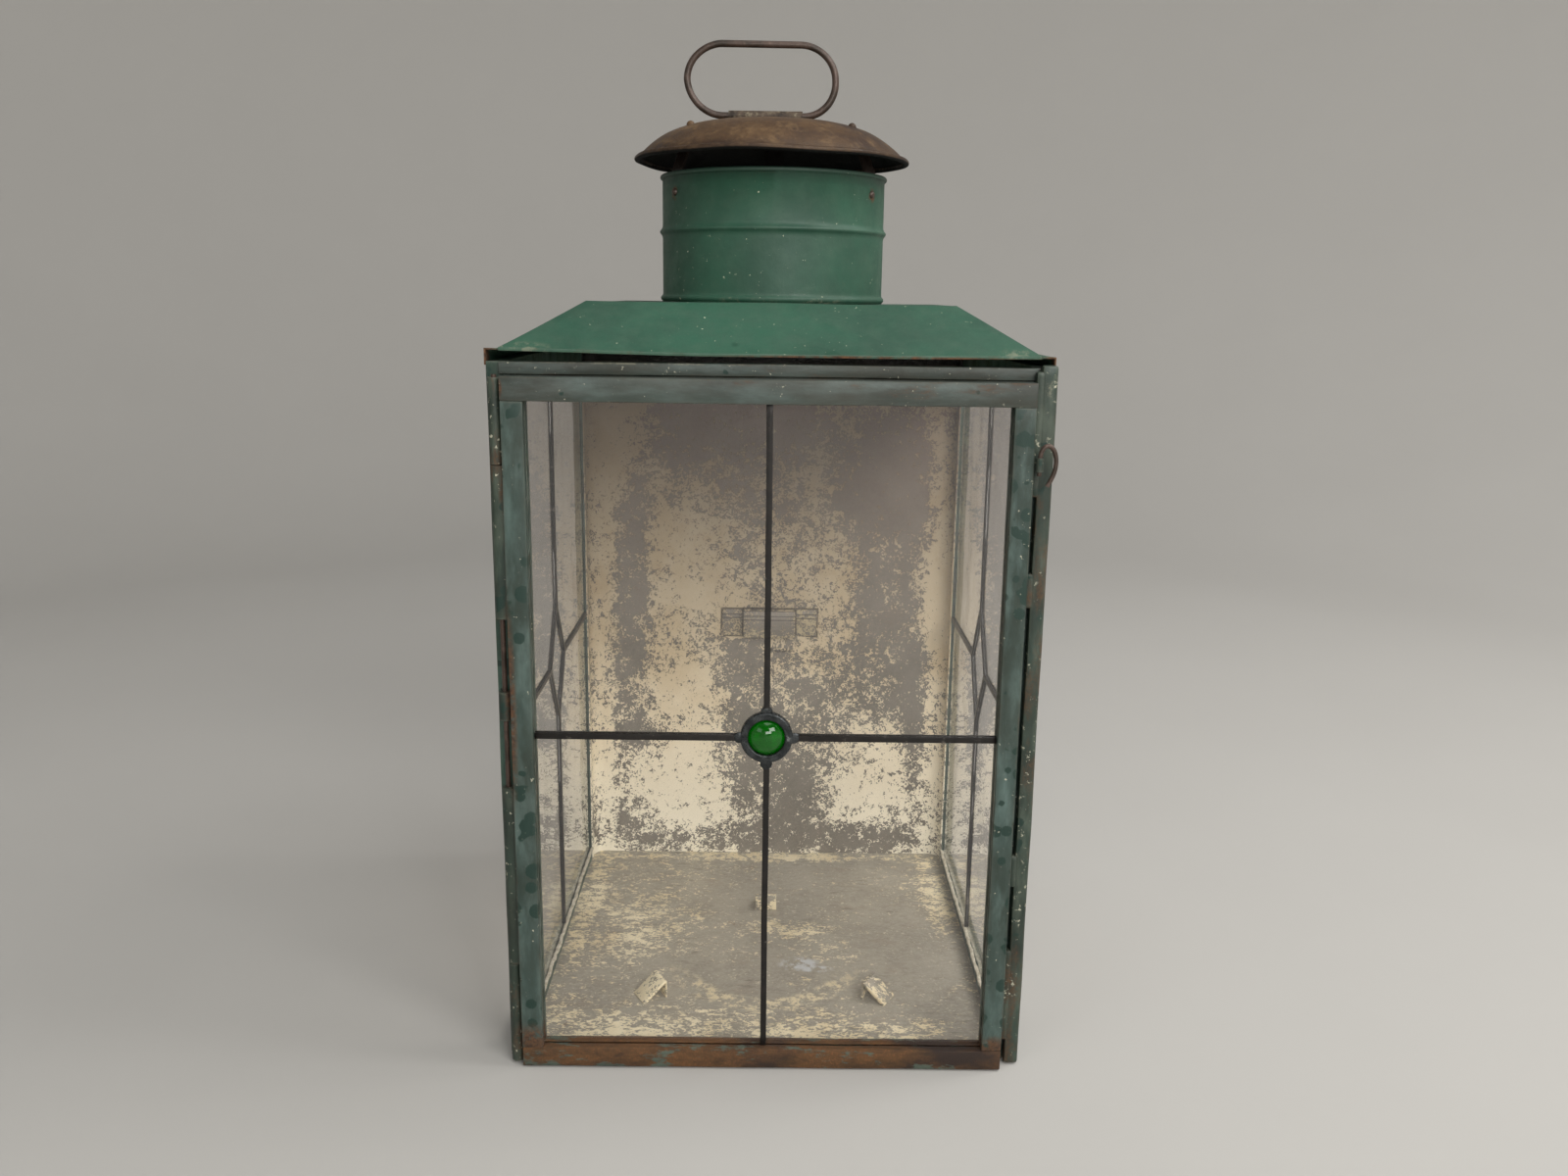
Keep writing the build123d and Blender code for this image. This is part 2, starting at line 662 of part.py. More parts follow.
with BuildPart() as latch_eye:
    with BuildSketch(Plane.XY.offset(eye_z[0])):
        with Locations((hook_x, hook_y)):
            Circle(eye_r)
        with Locations((hook_x + eye_r, hook_y)):
            Rectangle(0.6, -half_d - hook_y, align=(Align.MAX, Align.MIN))
        with Locations((hook_x, hook_y)):
            Circle(eye_in, mode=Mode.SUBTRACT)
    extrude(amount=eye_z[1] - eye_z[0])
latch_eye.part.label = "latch_eye"
export_step(latch_eye.part, "parts/latch_eye.step")

with BuildPart() as latch_hook:
    with BuildSketch(Plane.XY.offset(hook_leg[0])):
        with Locations((hook_x, hook_y)):
            Circle(hook_r)
    extrude(amount=hook_leg[1] - hook_leg[0])
    with BuildSketch(Plane.XY.offset(hook_leg[1])):
        with Locations((hook_x, hook_y)):
            Circle(hook_r)
    revolve(axis=Axis((hook_x + hook_w / 2, hook_y, hook_leg[1]), (0, 1, 0)), revolution_arc=180)
    with BuildSketch(Plane.XY.offset(hook_leg[1])):
        with Locations((hook_x + hook_w, hook_y)):
            Circle(hook_r)
    revolve(
        axis=Axis((hook_x + hook_w - hook_bow, hook_y, hook_leg[1]), (0, 1, 0)),
        revolution_arc=hook_turn,
    )
latch_hook.part.label = "latch_hook"
export_step(latch_hook.part, "parts/latch_hook.step")
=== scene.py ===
import bpy
import bmesh
import json
from math import cos, exp, pi, radians, sin
from mathutils import Matrix, Vector, noise


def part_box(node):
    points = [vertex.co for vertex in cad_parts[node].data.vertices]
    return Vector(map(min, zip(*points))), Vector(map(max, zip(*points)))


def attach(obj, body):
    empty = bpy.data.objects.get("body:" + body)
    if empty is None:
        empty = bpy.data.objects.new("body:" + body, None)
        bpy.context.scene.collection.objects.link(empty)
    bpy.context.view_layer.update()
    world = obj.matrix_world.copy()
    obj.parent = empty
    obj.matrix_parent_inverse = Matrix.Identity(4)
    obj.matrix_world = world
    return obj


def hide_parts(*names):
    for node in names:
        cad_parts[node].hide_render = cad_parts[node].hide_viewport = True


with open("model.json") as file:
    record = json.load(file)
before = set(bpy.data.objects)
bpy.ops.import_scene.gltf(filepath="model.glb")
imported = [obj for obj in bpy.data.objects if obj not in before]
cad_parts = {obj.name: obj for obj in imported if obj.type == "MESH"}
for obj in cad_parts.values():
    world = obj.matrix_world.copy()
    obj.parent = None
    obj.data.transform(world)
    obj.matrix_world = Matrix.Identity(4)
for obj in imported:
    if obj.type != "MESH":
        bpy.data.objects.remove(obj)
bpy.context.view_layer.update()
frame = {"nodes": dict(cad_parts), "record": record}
mm = 0.001
print("frame loaded")

# the camera stands at arm's length in front, a little above the middle; places in mm, turns in degrees
viewSetup = {
    "place": (2.8, -766.4, 411.4),
    "down": 12.79,
    "turn": 0.48,
    "tilt": 0.79,
    "lens": 29.1,
}
camData = bpy.data.cameras.new("camera")
camData.lens = viewSetup["lens"]
camData.sensor_width = 36
camData.clip_start = 0.01
camera = bpy.data.objects.new("camera", camData)
bpy.context.scene.collection.objects.link(camera)
camera.matrix_world = (
    Matrix.Translation(Vector(viewSetup["place"]) * mm)
    @ Matrix.Rotation(-radians(viewSetup["turn"]), 4, "Z")
    @ Matrix.Rotation(pi / 2 - radians(viewSetup["down"]), 4, "X")
    @ Matrix.Rotation(radians(viewSetup["tilt"]), 4, "Z")
)
bpy.context.scene.camera = camera
bpy.context.scene.view_settings.view_transform = "Standard"

# softboxes: place and aim in metres, size in metres, power in watts
studio = {
    "air": (0.95, 0.95, 0.96),
    "airPower": 0.22,
    "boxes": {
        "overhead": ((0.3, -0.4, 2.1), (0, 0, 0.2), (1.5, 1.0), 10, (1.0, 0.99, 0.97)),
        "rightHigh": ((1.35, 0.0, 1.7), (0.5, 0.35, 0.1), (0.9, 0.9), 17, (1.0, 0.985, 0.965)),
        "frontRight": ((1.1, -1.65, 1.55), (0, 0.1, 0.08), (1.2, 0.8), 26, (1.0, 0.99, 0.965)),
        "frontLeft": ((-1.3, -1.5, 1.3), (0, 0.05, 0.20), (0.9, 0.7), 3, (0.97, 0.99, 1.0)),
        "lowFront": ((0.35, -2.0, 0.95), (0, 0.1, 0.05), (1.0, 0.5), 14, (1.0, 0.99, 0.97)),
    },
}
world = bpy.data.worlds.new("studioAir")
bpy.context.scene.world = world
world.use_nodes = True
sky = world.node_tree.nodes["Background"]
sky.inputs["Color"].default_value = (*studio["air"], 1)
sky.inputs["Strength"].default_value = studio["airPower"]
for name, (place, aim, size, power, tint) in studio["boxes"].items():
    data = bpy.data.lights.new(name, "AREA")
    data.shape = "RECTANGLE"
    data.size, data.size_y = size
    data.energy = power
    data.color = tint
    lamp = bpy.data.objects.new(name, data)
    lamp.location = place
    lamp.rotation_euler = (Vector(aim) - Vector(place)).to_track_quat("-Z", "Y").to_euler()
    bpy.context.scene.collection.objects.link(lamp)
print("camera and light placed")


# small tools for materials; sizes are in mm
def srgb(text):
    parts = [int(text[i:i + 2], 16) / 255 for i in (0, 2, 4)]
    return (*[p / 12.92 if p <= 0.04045 else ((p + 0.055) / 1.055) ** 2.4 for p in parts], 1)


def add(tree, kind, links=None, pick=0, **settings):
    # one node with its settings and links; gives back the output that pick names
    node = tree.nodes.new("ShaderNode" + kind)
    for name, value in settings.items():
        setattr(node, name, value)
    for name, value in (links or {}).items():
        if isinstance(value, bpy.types.NodeSocket):
            tree.links.new(value, node.inputs[name])
        else:
            node.inputs[name].default_value = value
    return node.outputs[pick]


def newMaterial(name, sockets):
    material = bpy.data.materials.new(name)
    material.use_nodes = True
    tree = material.node_tree
    shader = tree.nodes["Principled BSDF"]
    for key, value in sockets.items():
        shader.inputs[key].default_value = value
    return material, tree, shader, add(tree, "TexCoord", pick="Object")


def clouds(tree, place, size, low, high, detail=5, rough=0.6, seed=0.0, warp=0.0):
    # patches about size mm across: 0 where the noise is under low, 1 where it is over high
    value = add(tree, "TexNoise", {
        "Vector": place, "W": seed, "Scale": 1 / (size * mm), "Detail": detail, "Roughness": rough,
        "Distortion": warp}, noise_dimensions="4D")
    return add(tree, "MapRange", {0: value, 1: low, 2: high}, interpolation_type="SMOOTHSTEP")


def overlap(tree, *masks):
    # only where every mask is
    whole = masks[0]
    for mask in masks[1:]:
        whole = add(tree, "Math", {0: whole, 1: mask}, operation="MULTIPLY")
    return whole


def either(tree, *masks):
    # wherever one of the masks is
    whole = masks[0]
    for mask in masks[1:]:
        whole = add(tree, "Math", {0: whole, 1: mask}, operation="MAXIMUM")
    return whole


def weigh(tree, *shares):
    # adds value, weight pairs
    total = 0.0
    for value, weight in shares:
        total = add(tree, "Math", {0: value, 1: weight, 2: total}, operation="MULTIPLY_ADD")
    return total


def coats(tree, ground, *layers):
    # lays each mask, colour pair over the ones before
    for mask, tone in layers:
        ground = add(tree, "Mix", {0: mask, 6: ground, 7: tone}, 2, data_type="RGBA")
    return ground


def region(tree, place, spots, soft=0.6):
    # 1 inside any of the soft ellipsoids, each given as centre and half size in mm
    masks = []
    for centre, spread in spots:
        where = add(tree, "Mapping", {
            0: place, 1: [-c / s for c, s in zip(centre, spread)], 3: [1 / (s * mm) for s in spread]})
        reach = add(tree, "VectorMath", {0: where}, "Value", operation="LENGTH")
        masks.append(add(tree, "MapRange", {0: reach, 1: 1 + soft, 2: 1 - soft},
                         interpolation_type="SMOOTHSTEP"))
    return either(tree, *masks)


def rectangleShadeLine(tree, place, centre, half, width):
    # a line of painted shade round an upright rectangle in the XZ plane; sizes in mm
    axes = [add(tree, "SeparateXYZ", {0: place}, axis) for axis in "XZ"]
    sides = []
    for value, middle, reach in zip(axes, centre, half):
        off = add(tree, "Math", {0: value, 1: middle * mm}, operation="SUBTRACT")
        off = add(tree, "Math", {0: off}, operation="ABSOLUTE")
        sides.append(weigh(tree, (off, 1.0), (-reach * mm, 1.0)))
    away = add(tree, "Math", {0: either(tree, *sides)}, operation="ABSOLUTE")
    return add(tree, "MapRange", {0: away, 1: width * mm, 2: 0.3 * width * mm},
               interpolation_type="SMOOTHSTEP")


def edges(tree, width):
    # 1 where the surface turns within width mm: the folds and corners, rubbed lighter with wear and painted
    # highlight, and the creases, darkened with grime and painted shade
    soft = add(tree, "Bevel", {0: width * mm}, samples=4)
    dot = add(tree, "VectorMath", {0: soft, 1: add(tree, "NewGeometry", pick="Normal")}, "Value",
              operation="DOT_PRODUCT")
    return add(tree, "MapRange", {0: dot, 1: 0.985, 2: 0.80}, interpolation_type="SMOOTHSTEP")


def finish(tree, shader, colour, rough, height, depth, metal=None):
    # depth is the height in mm between the lowest and the highest of the relief
    tree.links.new(colour, shader.inputs["Base Color"])
    tree.links.new(rough, shader.inputs["Roughness"])
    if metal is not None:
        tree.links.new(metal, shader.inputs["Metallic"])
    bump = add(tree, "Bump", {"Strength": 1.0, "Distance": depth * mm, "Height": height})
    tree.links.new(bump, shader.inputs["Normal"])


# the collar's lip is darkened under the cap: lamp smoke, with painted shade of the cap; heights in mm
smokeAndCapShadeOnCollar = {"from": 472, "to": 481, "share": 0.8, "tone": "15221b"}


# linseed oil paint brushed on tinplate: a satin skin, chalky where it has weathered, dark where drops
# fell, with pale chips, and rust where folds are rubbed bare
def oilPaint(name, recipe):
    material, tree, shader, place = newMaterial(name, {"IOR": 1.48})
    seed = recipe["seed"]
    along = add(tree, "Mapping", {0: place, 3: recipe["stretch"]})
    broad = clouds(tree, place, 70, 0.38, 0.62, seed=seed)
    streak = clouds(tree, along, 10, 0.40, 0.70, seed=seed + 1)
    mid = clouds(tree, along, 16, 0.30, 0.70, detail=7, rough=0.68, seed=seed + 2)
    fine = clouds(tree, place, 2.0, 0.3, 0.7, detail=5, rough=0.65, seed=seed + 3)
    cell = {"Vector": place, "Scale": 1 / (recipe["dropPitch"] * mm), "Randomness": 1.0}
    lot = add(tree, "SeparateColor", {0: add(tree, "TexVoronoi", cell, "Color")})
    size = add(tree, "Math", {0: lot, 1: 0.26 * recipe["drops"], 2: 0.30 * recipe["drops"] - 0.26},
               operation="MULTIPLY_ADD")
    reach = weigh(tree, (add(tree, "TexVoronoi", cell, "Distance"), 1.0), (fine, 0.05), (size, -1.0))
    drops = add(tree, "MapRange", {0: reach, 1: 0.05, 2: 0.0}, interpolation_type="SMOOTHSTEP")
    rustTone = coats(tree, srgb(recipe["rustDark"]), (fine, srgb(recipe["rustTone"])))
    chips = overlap(
        tree, clouds(tree, place, recipe["chip"], recipe["chipFrom"], recipe["chipFrom"] + 0.03, detail=4,
                     seed=seed + 4),
        clouds(tree, place, 24, 0.46, 0.56, seed=seed + 5))
    rust = overlap(
        tree, clouds(tree, along, 26, recipe["rustFrom"], recipe["rustFrom"] + 0.10, detail=8, rough=0.72,
                     seed=seed + 6),
        weigh(tree, (fine, 0.5), (mid, 0.5), (1.0, 0.3)))
    eaten = overlap(tree, region(tree, place, recipe["eaten"], 0.4),
                    clouds(tree, place, 7, 0.36, 0.50, detail=7, rough=0.7, seed=seed + 10))
    dusty = overlap(tree, region(tree, place, recipe["dusty"], 0.5),
                    clouds(tree, place, 7, 0.48, 0.57, detail=8, rough=0.8, seed=seed + 11))
    blots = clouds(tree, place, recipe["blot"], recipe["blotFrom"], recipe["blotFrom"] + 0.02, detail=2,
                   rough=0.5, seed=seed + 12)
    up = add(tree, "SeparateXYZ", {0: place}, "Z")
    # painted shade of the cap on the collar's lip, together with smoke
    smokeAndCapShade = add(tree, "MapRange", {
        0: up, 1: smokeAndCapShadeOnCollar["from"] * mm, 2: smokeAndCapShadeOnCollar["to"] * mm, 4: smokeAndCapShadeOnCollar["share"]})
    fold = edges(tree, 2.0)
    bare = overlap(tree, fold, clouds(tree, place, 13, 0.52, 0.60, detail=6, rough=0.7, seed=seed + 7))
    rubbedAndHighlight = overlap(tree, fold, clouds(tree, place, 30, 0.36, 0.52, detail=5, seed=seed + 8))
    colour = coats(
        tree, srgb(recipe["deep"]),
        (broad, srgb(recipe["body"])),
        (overlap(tree, streak, recipe["fade"]), srgb(recipe["worn"])),
        (overlap(tree, mid, recipe["dirt"]), srgb(recipe["grime"])),
        (overlap(tree, either(tree, drops, blots), 0.95), srgb(recipe["drop"])),
        (overlap(tree, dusty, recipe["dust"]), srgb(recipe["dustTone"])),
        # folds and creases darkened: grime, with painted shade in the creases
        (overlap(tree, fold, recipe["foldGrimeAndShade"]), srgb(recipe["foldGrimeAndShadeTone"])),
        # paint rubbed lighter along the folds: wear, with a painted highlight
        (overlap(tree, rubbedAndHighlight, recipe["rubAndHighlight"]), srgb(recipe["rubAndHighlightTone"])),
        (overlap(tree, rust, recipe["rust"]), rustTone),
        (overlap(tree, bare, recipe["bare"]), rustTone),
        (eaten, rustTone),
        (chips, srgb(recipe["chipTone"])),
        # smoke and painted shade of the cap on the collar's lip
        (smokeAndCapShade, srgb(smokeAndCapShadeOnCollar["tone"])),
    )
    rough = weigh(tree, (mid, 0.16), (either(tree, rust, bare, eaten), 0.25), (fine, 0.06),
                  (recipe["rough"], 1.0))
    height = weigh(tree, (fine, 0.10), (mid, 0.25), (broad, 0.35), (chips, 0.15), (rust, -0.15), (0.25, 1.0))
    finish(tree, shader, colour, rough, height, recipe["depth"])
    return material


# tones are sRGB; sizes, centres and half sizes are in mm; "From" numbers are where the noise starts to show
roofPaint = {
    "body": "2b5643", "deep": "224838", "worn": "46604f", "grime": "2c4336",
    "chipTone": "b9bfa5", "drop": "1b4332", "rubAndHighlightTone": "6f8573", "rustTone": "6b4a30",
    "rustDark": "33251c", "dustTone": "a39d86", "foldGrimeAndShadeTone": "1f1d17", "dust": 0.36,
    "fade": 0.28, "dirt": 0.30, "drops": 0.2, "dropPitch": 30, "blot": 40, "blotFrom": 0.70,
    "chip": 2.2, "chipFrom": 0.670, "rubAndHighlight": 0.35, "foldGrimeAndShade": 0.25, "bare": 0.55,
    "rust": 0.25, "rustFrom": 0.66, "rough": 0.46, "depth": 0.22, "stretch": (1, 1, 1), "seed": 0.0,
    "eaten": [
        ((-139, -133, 381), (6, 8, 8)), ((139, -133, 380), (5, 8, 8)), ((60, -137, 384), (80, 1.5, 1.2)),
        ((-55, -34, 468.5), (2.6, 4, 3.4)), ((55, -34, 468.5), (2.6, 4, 3.4)),
        ((-141, 0, 378), (1.5, 140, 2.5)), ((141, 0, 378), (1.5, 140, 2.5)),
    ],
    "dusty": [
        ((-126, -134, 386), (16, 9, 3.5)), ((128, -134, 386), (14, 9, 3)),
        ((-30, -62, 411), (30, 4, 1.6)), ((30, -60, 411), (14, 6, 1.2)),
    ],
}
stilePaint = {
    "body": "3a4d48", "deep": "26362f", "worn": "5f736e", "grime": "262b20",
    "chipTone": "adab97", "drop": "122e26", "rubAndHighlightTone": "7d8375", "rustTone": "64452c",
    "rustDark": "33251c", "dustTone": "a39d86", "foldGrimeAndShadeTone": "1f1d17", "dust": 0.36,
    "fade": 0.80, "dirt": 0.60, "drops": 1.25, "dropPitch": 11, "blot": 14, "blotFrom": 0.61,
    "chip": 2.4, "chipFrom": 0.645, "rubAndHighlight": 0.35, "foldGrimeAndShade": 0.9, "bare": 0.6,
    "rust": 0.6, "rustFrom": 0.61, "rough": 0.40, "depth": 0.3, "stretch": (1, 1, 0.3), "seed": 4.0,
    "eaten": [((-126, -143, 14), (10, 8, 12)), ((125, -143, 14), (9, 8, 7)), ((-131, -143, 206), (3, 8, 50))],
    "dusty": [((138, -141, 372), (3, 6, 5))],
}
railPaint = dict(
    stilePaint, body="38443e", deep="29332e", worn="566460", grime="352b20", drops=0.3, rust=0.9,
    blotFrom=0.70, rustFrom=0.55, rustTone="5c4430", stretch=(0.25, 1, 1), seed=8.0,
    eaten=[((-131, -146, 368), (1.2, 4, 4))], dusty=[((-60, -137, 380.5), (60, 3, 0.9))])
sidePaint = dict(
    stilePaint, body="2d4c3f", deep="233c31", worn="48665a", drops=0.6, rustFrom=0.62, foldGrimeAndShade=0.5,
    stretch=(1, 1, 0.4), seed=12.0)
hingePaint = dict(
    stilePaint, body="2b3e35", deep="1d2b24", rust=0.85, rustFrom=0.52, rustTone="5a432e", chipFrom=0.61,
    drops=0.6, worn="586356", foldGrimeAndShade=0.5, seed=16.0)
roofLook = oilPaint("oilPaintOnTinRoof", roofPaint)
stileLook = oilPaint("oilPaintOnTinStile", stilePaint)
railLook = oilPaint("oilPaintOnTinRail", railPaint)
sideLook = oilPaint("oilPaintOnTinSide", sidePaint)
hingeLook = oilPaint("oilPaintOnTinHinge", hingePaint)


# rusted tinplate: orange brown scale with islands of the old green paint, dull and rough
def rustedTin(name, recipe):
    material, tree, shader, place = newMaterial(name, {"IOR": 1.5})
    along = add(tree, "Mapping", {0: place, 3: recipe["stretch"]})
    mid = clouds(tree, along, 6, 0.30, 0.68, detail=7, rough=0.7, seed=1)
    fine = clouds(tree, place, 1.3, 0.45, 0.75, detail=5, rough=0.7, seed=2)
    paint = clouds(tree, along, 16, recipe["paintFrom"], recipe["paintFrom"] + 0.05, detail=8, rough=0.7,
                   seed=3)
    dark = clouds(tree, along, 22, 0.50, 0.66, detail=5, seed=4)
    colour = coats(
        tree, srgb(recipe["scale"]),
        (mid, srgb(recipe["rust"])),
        (overlap(tree, fine, mid), srgb(recipe["bloom"])),
        (dark, srgb(recipe["stain"])),
        (paint, coats(tree, srgb(recipe["paint"]), (mid, srgb(recipe["paintWorn"])))),
    )
    rough = weigh(tree, (paint, -0.30), (fine, 0.1), (0.80, 1.0))
    finish(tree, shader, colour, rough, weigh(tree, (fine, 0.3), (paint, 0.5), (mid, 0.2)), 0.35)
    return material


sillLook = rustedTin("rustedTinplate", {
    "scale": "3c2a17", "rust": "5e4022", "bloom": "7c5030", "stain": "2b1e17",
    "paint": "36413a", "paintWorn": "525c4f", "paintFrom": 0.535, "stretch": (0.4, 1, 1),
})


# the cap is painted darker from its rolled rim down: painted shade of the roll; heights in mm
capRollShade = {"from": 494, "to": 489, "share": 0.55, "tone": "2a1f18"}


# brown rust on sheet iron and wire: handled smooth, so it keeps a low sheen over the speckled scale
def brownRust(name, recipe):
    material, tree, shader, place = newMaterial(name, {
        "IOR": 1.5, "Metallic": recipe["metal"], "Specular IOR Level": recipe["shine"]})
    broad = clouds(tree, place, recipe["patch"], 0.38, 0.62, seed=recipe["seed"])
    mid = clouds(tree, place, recipe["patch"] / 4, 0.48, 0.72, detail=6, rough=0.66, seed=recipe["seed"] + 1)
    fine = clouds(tree, place, 1.2, 0.45, 0.75, detail=5, rough=0.7, seed=recipe["seed"] + 2)
    chips = clouds(tree, place, 2.6, 0.745, 0.76, detail=3, seed=recipe["seed"] + 3)
    # surfaces facing down are darkened nearly black: soot, together with painted shade on the undersides
    normal = add(tree, "SeparateXYZ", {0: add(tree, "NewGeometry", pick="Normal")}, "Z")
    shadedUnderside = add(tree, "MapRange", {0: normal, 1: -0.10, 2: -0.45, 4: recipe["sootAndShadeShare"]})
    up = add(tree, "SeparateXYZ", {0: place}, "Z")
    rollShade = add(tree, "MapRange", {0: up, 1: capRollShade["from"] * mm, 2: capRollShade["to"] * mm,
                                 4: capRollShade["share"] * recipe["sootAndShadeShare"]})
    colour = coats(
        tree, srgb(recipe["dark"]),
        (broad, srgb(recipe["body"])),
        (overlap(tree, mid, 0.75), srgb(recipe["bloom"])),
        (overlap(tree, fine, 0.45), srgb(recipe["dark"])),
        # folds and creases darkened: grime, with painted shade in the creases
        (overlap(tree, edges(tree, 1.2), 0.5), srgb(recipe["dark"])),
        (chips, srgb(recipe["chipTone"])),
        # painted shade of the cap's rolled rim
        (rollShade, srgb(capRollShade["tone"])),
        # soot and painted shade on the undersides
        (shadedUnderside, srgb(recipe["sootAndShadeTone"])),
    )
    rough = weigh(tree, (mid, 0.18), (fine, 0.10), (shadedUnderside, 0.45), (recipe["rough"], 1.0))
    metal = None
    if recipe["sootAndShadeShare"]:
        metal = weigh(tree, (shadedUnderside, -recipe["metal"]), (recipe["metal"], 1.0))    # soot hardly shines
    finish(tree, shader, colour, rough, weigh(tree, (fine, 0.35), (mid, 0.45)), recipe["depth"], metal)
    return material


capRust = {
    "body": "5d4730", "dark": "3b2c22", "bloom": "786043", "chipTone": "c9b998", "sootAndShadeTone": "0b0907",
    "patch": 36, "rough": 0.44, "depth": 0.22, "metal": 0.1, "shine": 0.25, "sootAndShadeShare": 1.0, "seed": 3.0,
}
capLook = brownRust("brownRustedSheetIron", capRust)
wireLook = brownRust("brownRustedIronWire", dict(
    capRust, body="4c3c34", dark="30271f", bloom="64534a", patch=14, metal=0.3, rough=0.38, depth=0.10,
    sootAndShadeShare=0.0, shine=0.5, seed=7.0))
sleeveLook = brownRust("scuffedTinSleeve", dict(
    capRust, body="53463a", dark="2d251f", bloom="9a9079", patch=9, sootAndShadeShare=0.0, seed=13.0))
# the cap stays are painted near black: soot, and painted shade under the cap
sootedAndShadedStayLook = brownRust("sootedAndShadedTinStrap", dict(
    capRust, body="1c1612", dark="0e0b09", bloom="2a211b", patch=12, seed=11.0))


# cream distemper flaking off dull tinplate: pale matt islands with ragged edges over grey metal
def flakedCream(name, recipe, kept, lost):
    material, tree, shader, place = newMaterial(name, {"IOR": 1.5})
    along = add(tree, "Mapping", {0: place, 3: recipe["stretch"]})
    seed = recipe["seed"]
    broad = clouds(tree, along, 60, 0.25, 0.75, seed=seed)
    flake = clouds(tree, along, recipe["flake"], 0.25, 0.75, detail=6, rough=0.68, seed=seed + 1, warp=0.7)
    crumb = clouds(tree, along, recipe["flake"] / 3.2, 0.25, 0.75, detail=3, rough=0.6, seed=seed + 2,
                   warp=1.2)
    pits = clouds(tree, place, 1.7, 0.60, 0.66, detail=2, seed=seed + 5)
    cover = weigh(tree, (broad, 0.25), (flake, 0.38), (crumb, 0.37), (pits, -recipe["pits"]),
                  (region(tree, place, kept), recipe["pull"]), (region(tree, place, lost), -recipe["pull"]))
    cream = add(tree, "MapRange", {0: cover, 1: recipe["level"], 2: recipe["level"] + 0.025},
                interpolation_type="SMOOTHSTEP")
    warm = clouds(tree, place, 45, 0.40, 0.62, seed=seed + 3)
    stain = clouds(tree, along, 18, 0.50, 0.80, detail=6, rough=0.7, seed=seed + 4)
    creamTone = coats(tree, srgb(recipe["cream"]), (warm, srgb(recipe["creamWarm"])),
                      (overlap(tree, stain, 0.5), srgb(recipe["creamStain"])))
    tinTone = coats(tree, srgb(recipe["tin"]), (warm, srgb(recipe["tinDark"])),
                    (overlap(tree, crumb, 0.5), srgb(recipe["tinLight"])),
                    (overlap(tree, stain, 0.5), srgb(recipe["tinStain"])))
    up = add(tree, "SeparateXYZ", {0: place}, "Z")
    # darker towards the top: lamp soot together with painted shade of the roof
    sootAndRoofShade = add(tree, "MapRange", {0: up, 1: recipe["sootAndRoofShadeFrom"] * mm, 2: recipe["sootAndRoofShadeTo"] * mm})
    creamTone = coats(tree, creamTone, (overlap(tree, sootAndRoofShade, recipe["sootAndRoofShade"]), srgb(recipe["sootAndRoofShadeOnCream"])))
    tinTone = coats(tree, tinTone, (overlap(tree, sootAndRoofShade, sootAndRoofShade, recipe["sootAndRoofShade"]), srgb(recipe["sootAndRoofShadeOnTin"])))
    colour = coats(tree, tinTone, (cream, creamTone))
    rough = weigh(tree, (cream, 0.28), (crumb, 0.12), (recipe["tinRough"], 1.0))
    height = weigh(tree, (cream, 0.6), (crumb, 0.15), (broad, 0.1))
    metal = weigh(tree, (cream, -recipe["tinMetal"]), (recipe["tinMetal"], 1.0))
    return material, tree, shader, place, colour, rough, height, metal


# where the paint has held on the reflector and where it has gone: centre and half size in mm
reflectorKept = [
    ((-122, 126, 190), (9, 20, 260)), ((122, 126, 190), (9, 20, 260)), ((-62, 132, 190), (34, 60, 95)),
    ((-62, 132, 60), (34, 60, 46)), ((76, 132, 66), (36, 60, 44)), ((38, 132, 205), (26, 60, 50)),
    ((-112, 132, 340), (24, 60, 60)),
]
reflectorLost = [
    ((-20, 132, 330), (60, 60, 30)), ((82, 132, 280), (30, 60, 50)), ((88, 132, 190), (24, 60, 60)),
    ((-97, 132, 245), (12, 60, 60)), ((-97, 132, 185), (9, 60, 40)), ((-24, 132, 150), (20, 60, 20)),
    ((-14, 132, 88), (22, 60, 42)), ((16, 132, 50), (24, 60, 28)), ((-90, 132, 92), (20, 60, 16)),
    ((0, 132, 14), (130, 60, 12)), ((108, 132, 130), (9, 60, 70)),
]
creamPaint = {
    "cream": "efdfc0", "creamWarm": "e3cfab", "creamStain": "c6ab86",
    "tin": "7f7970", "tinDark": "6c665d", "tinLight": "948d81", "tinStain": "7a6a5a",
    "tinRough": 0.42, "tinMetal": 0.25, "level": 0.49, "pull": 0.15, "pits": 0.12, "flake": 7,
    "sootAndRoofShadeOnCream": "4a2f1c", "sootAndRoofShadeOnTin": "4e2a1a", "sootAndRoofShade": 0.95, "sootAndRoofShadeFrom": 90, "sootAndRoofShadeTo": 385,
    "stretch": (1, 1, 1), "seed": 2.0,
}
reflectorLook, tree, shader, place, colour, rough, height, metal = flakedCream(
    "flakedCreamOnTinReflector", creamPaint, reflectorKept, reflectorLost)
# heights in mm: the cream is painted lighter near the floor as painted light, and the top edge is painted
# black as painted shade in the gap under the roof, with some lamp soot
panelMarks = {
    "paintedLightFrom": 150, "paintedLightTo": 10, "gapShadeAndSootFrom": 364, "gapShadeAndSootTo": 369, "skin": 0.4,
    "clean": "f8f1dd", "contactShadeTone": "2e261e", "gapShadeAndSootTone": "0d0b09",
    "green": "2a4a3b", "greenWorn": "345546", "rust": "5b4029", "chip": "a9a890",
}
up = add(tree, "SeparateXYZ", {0: place}, "Z")
paintShare = add(tree, "MapRange", {0: metal, 2: creamPaint["tinMetal"], 3: 1.0, 4: 0.0})
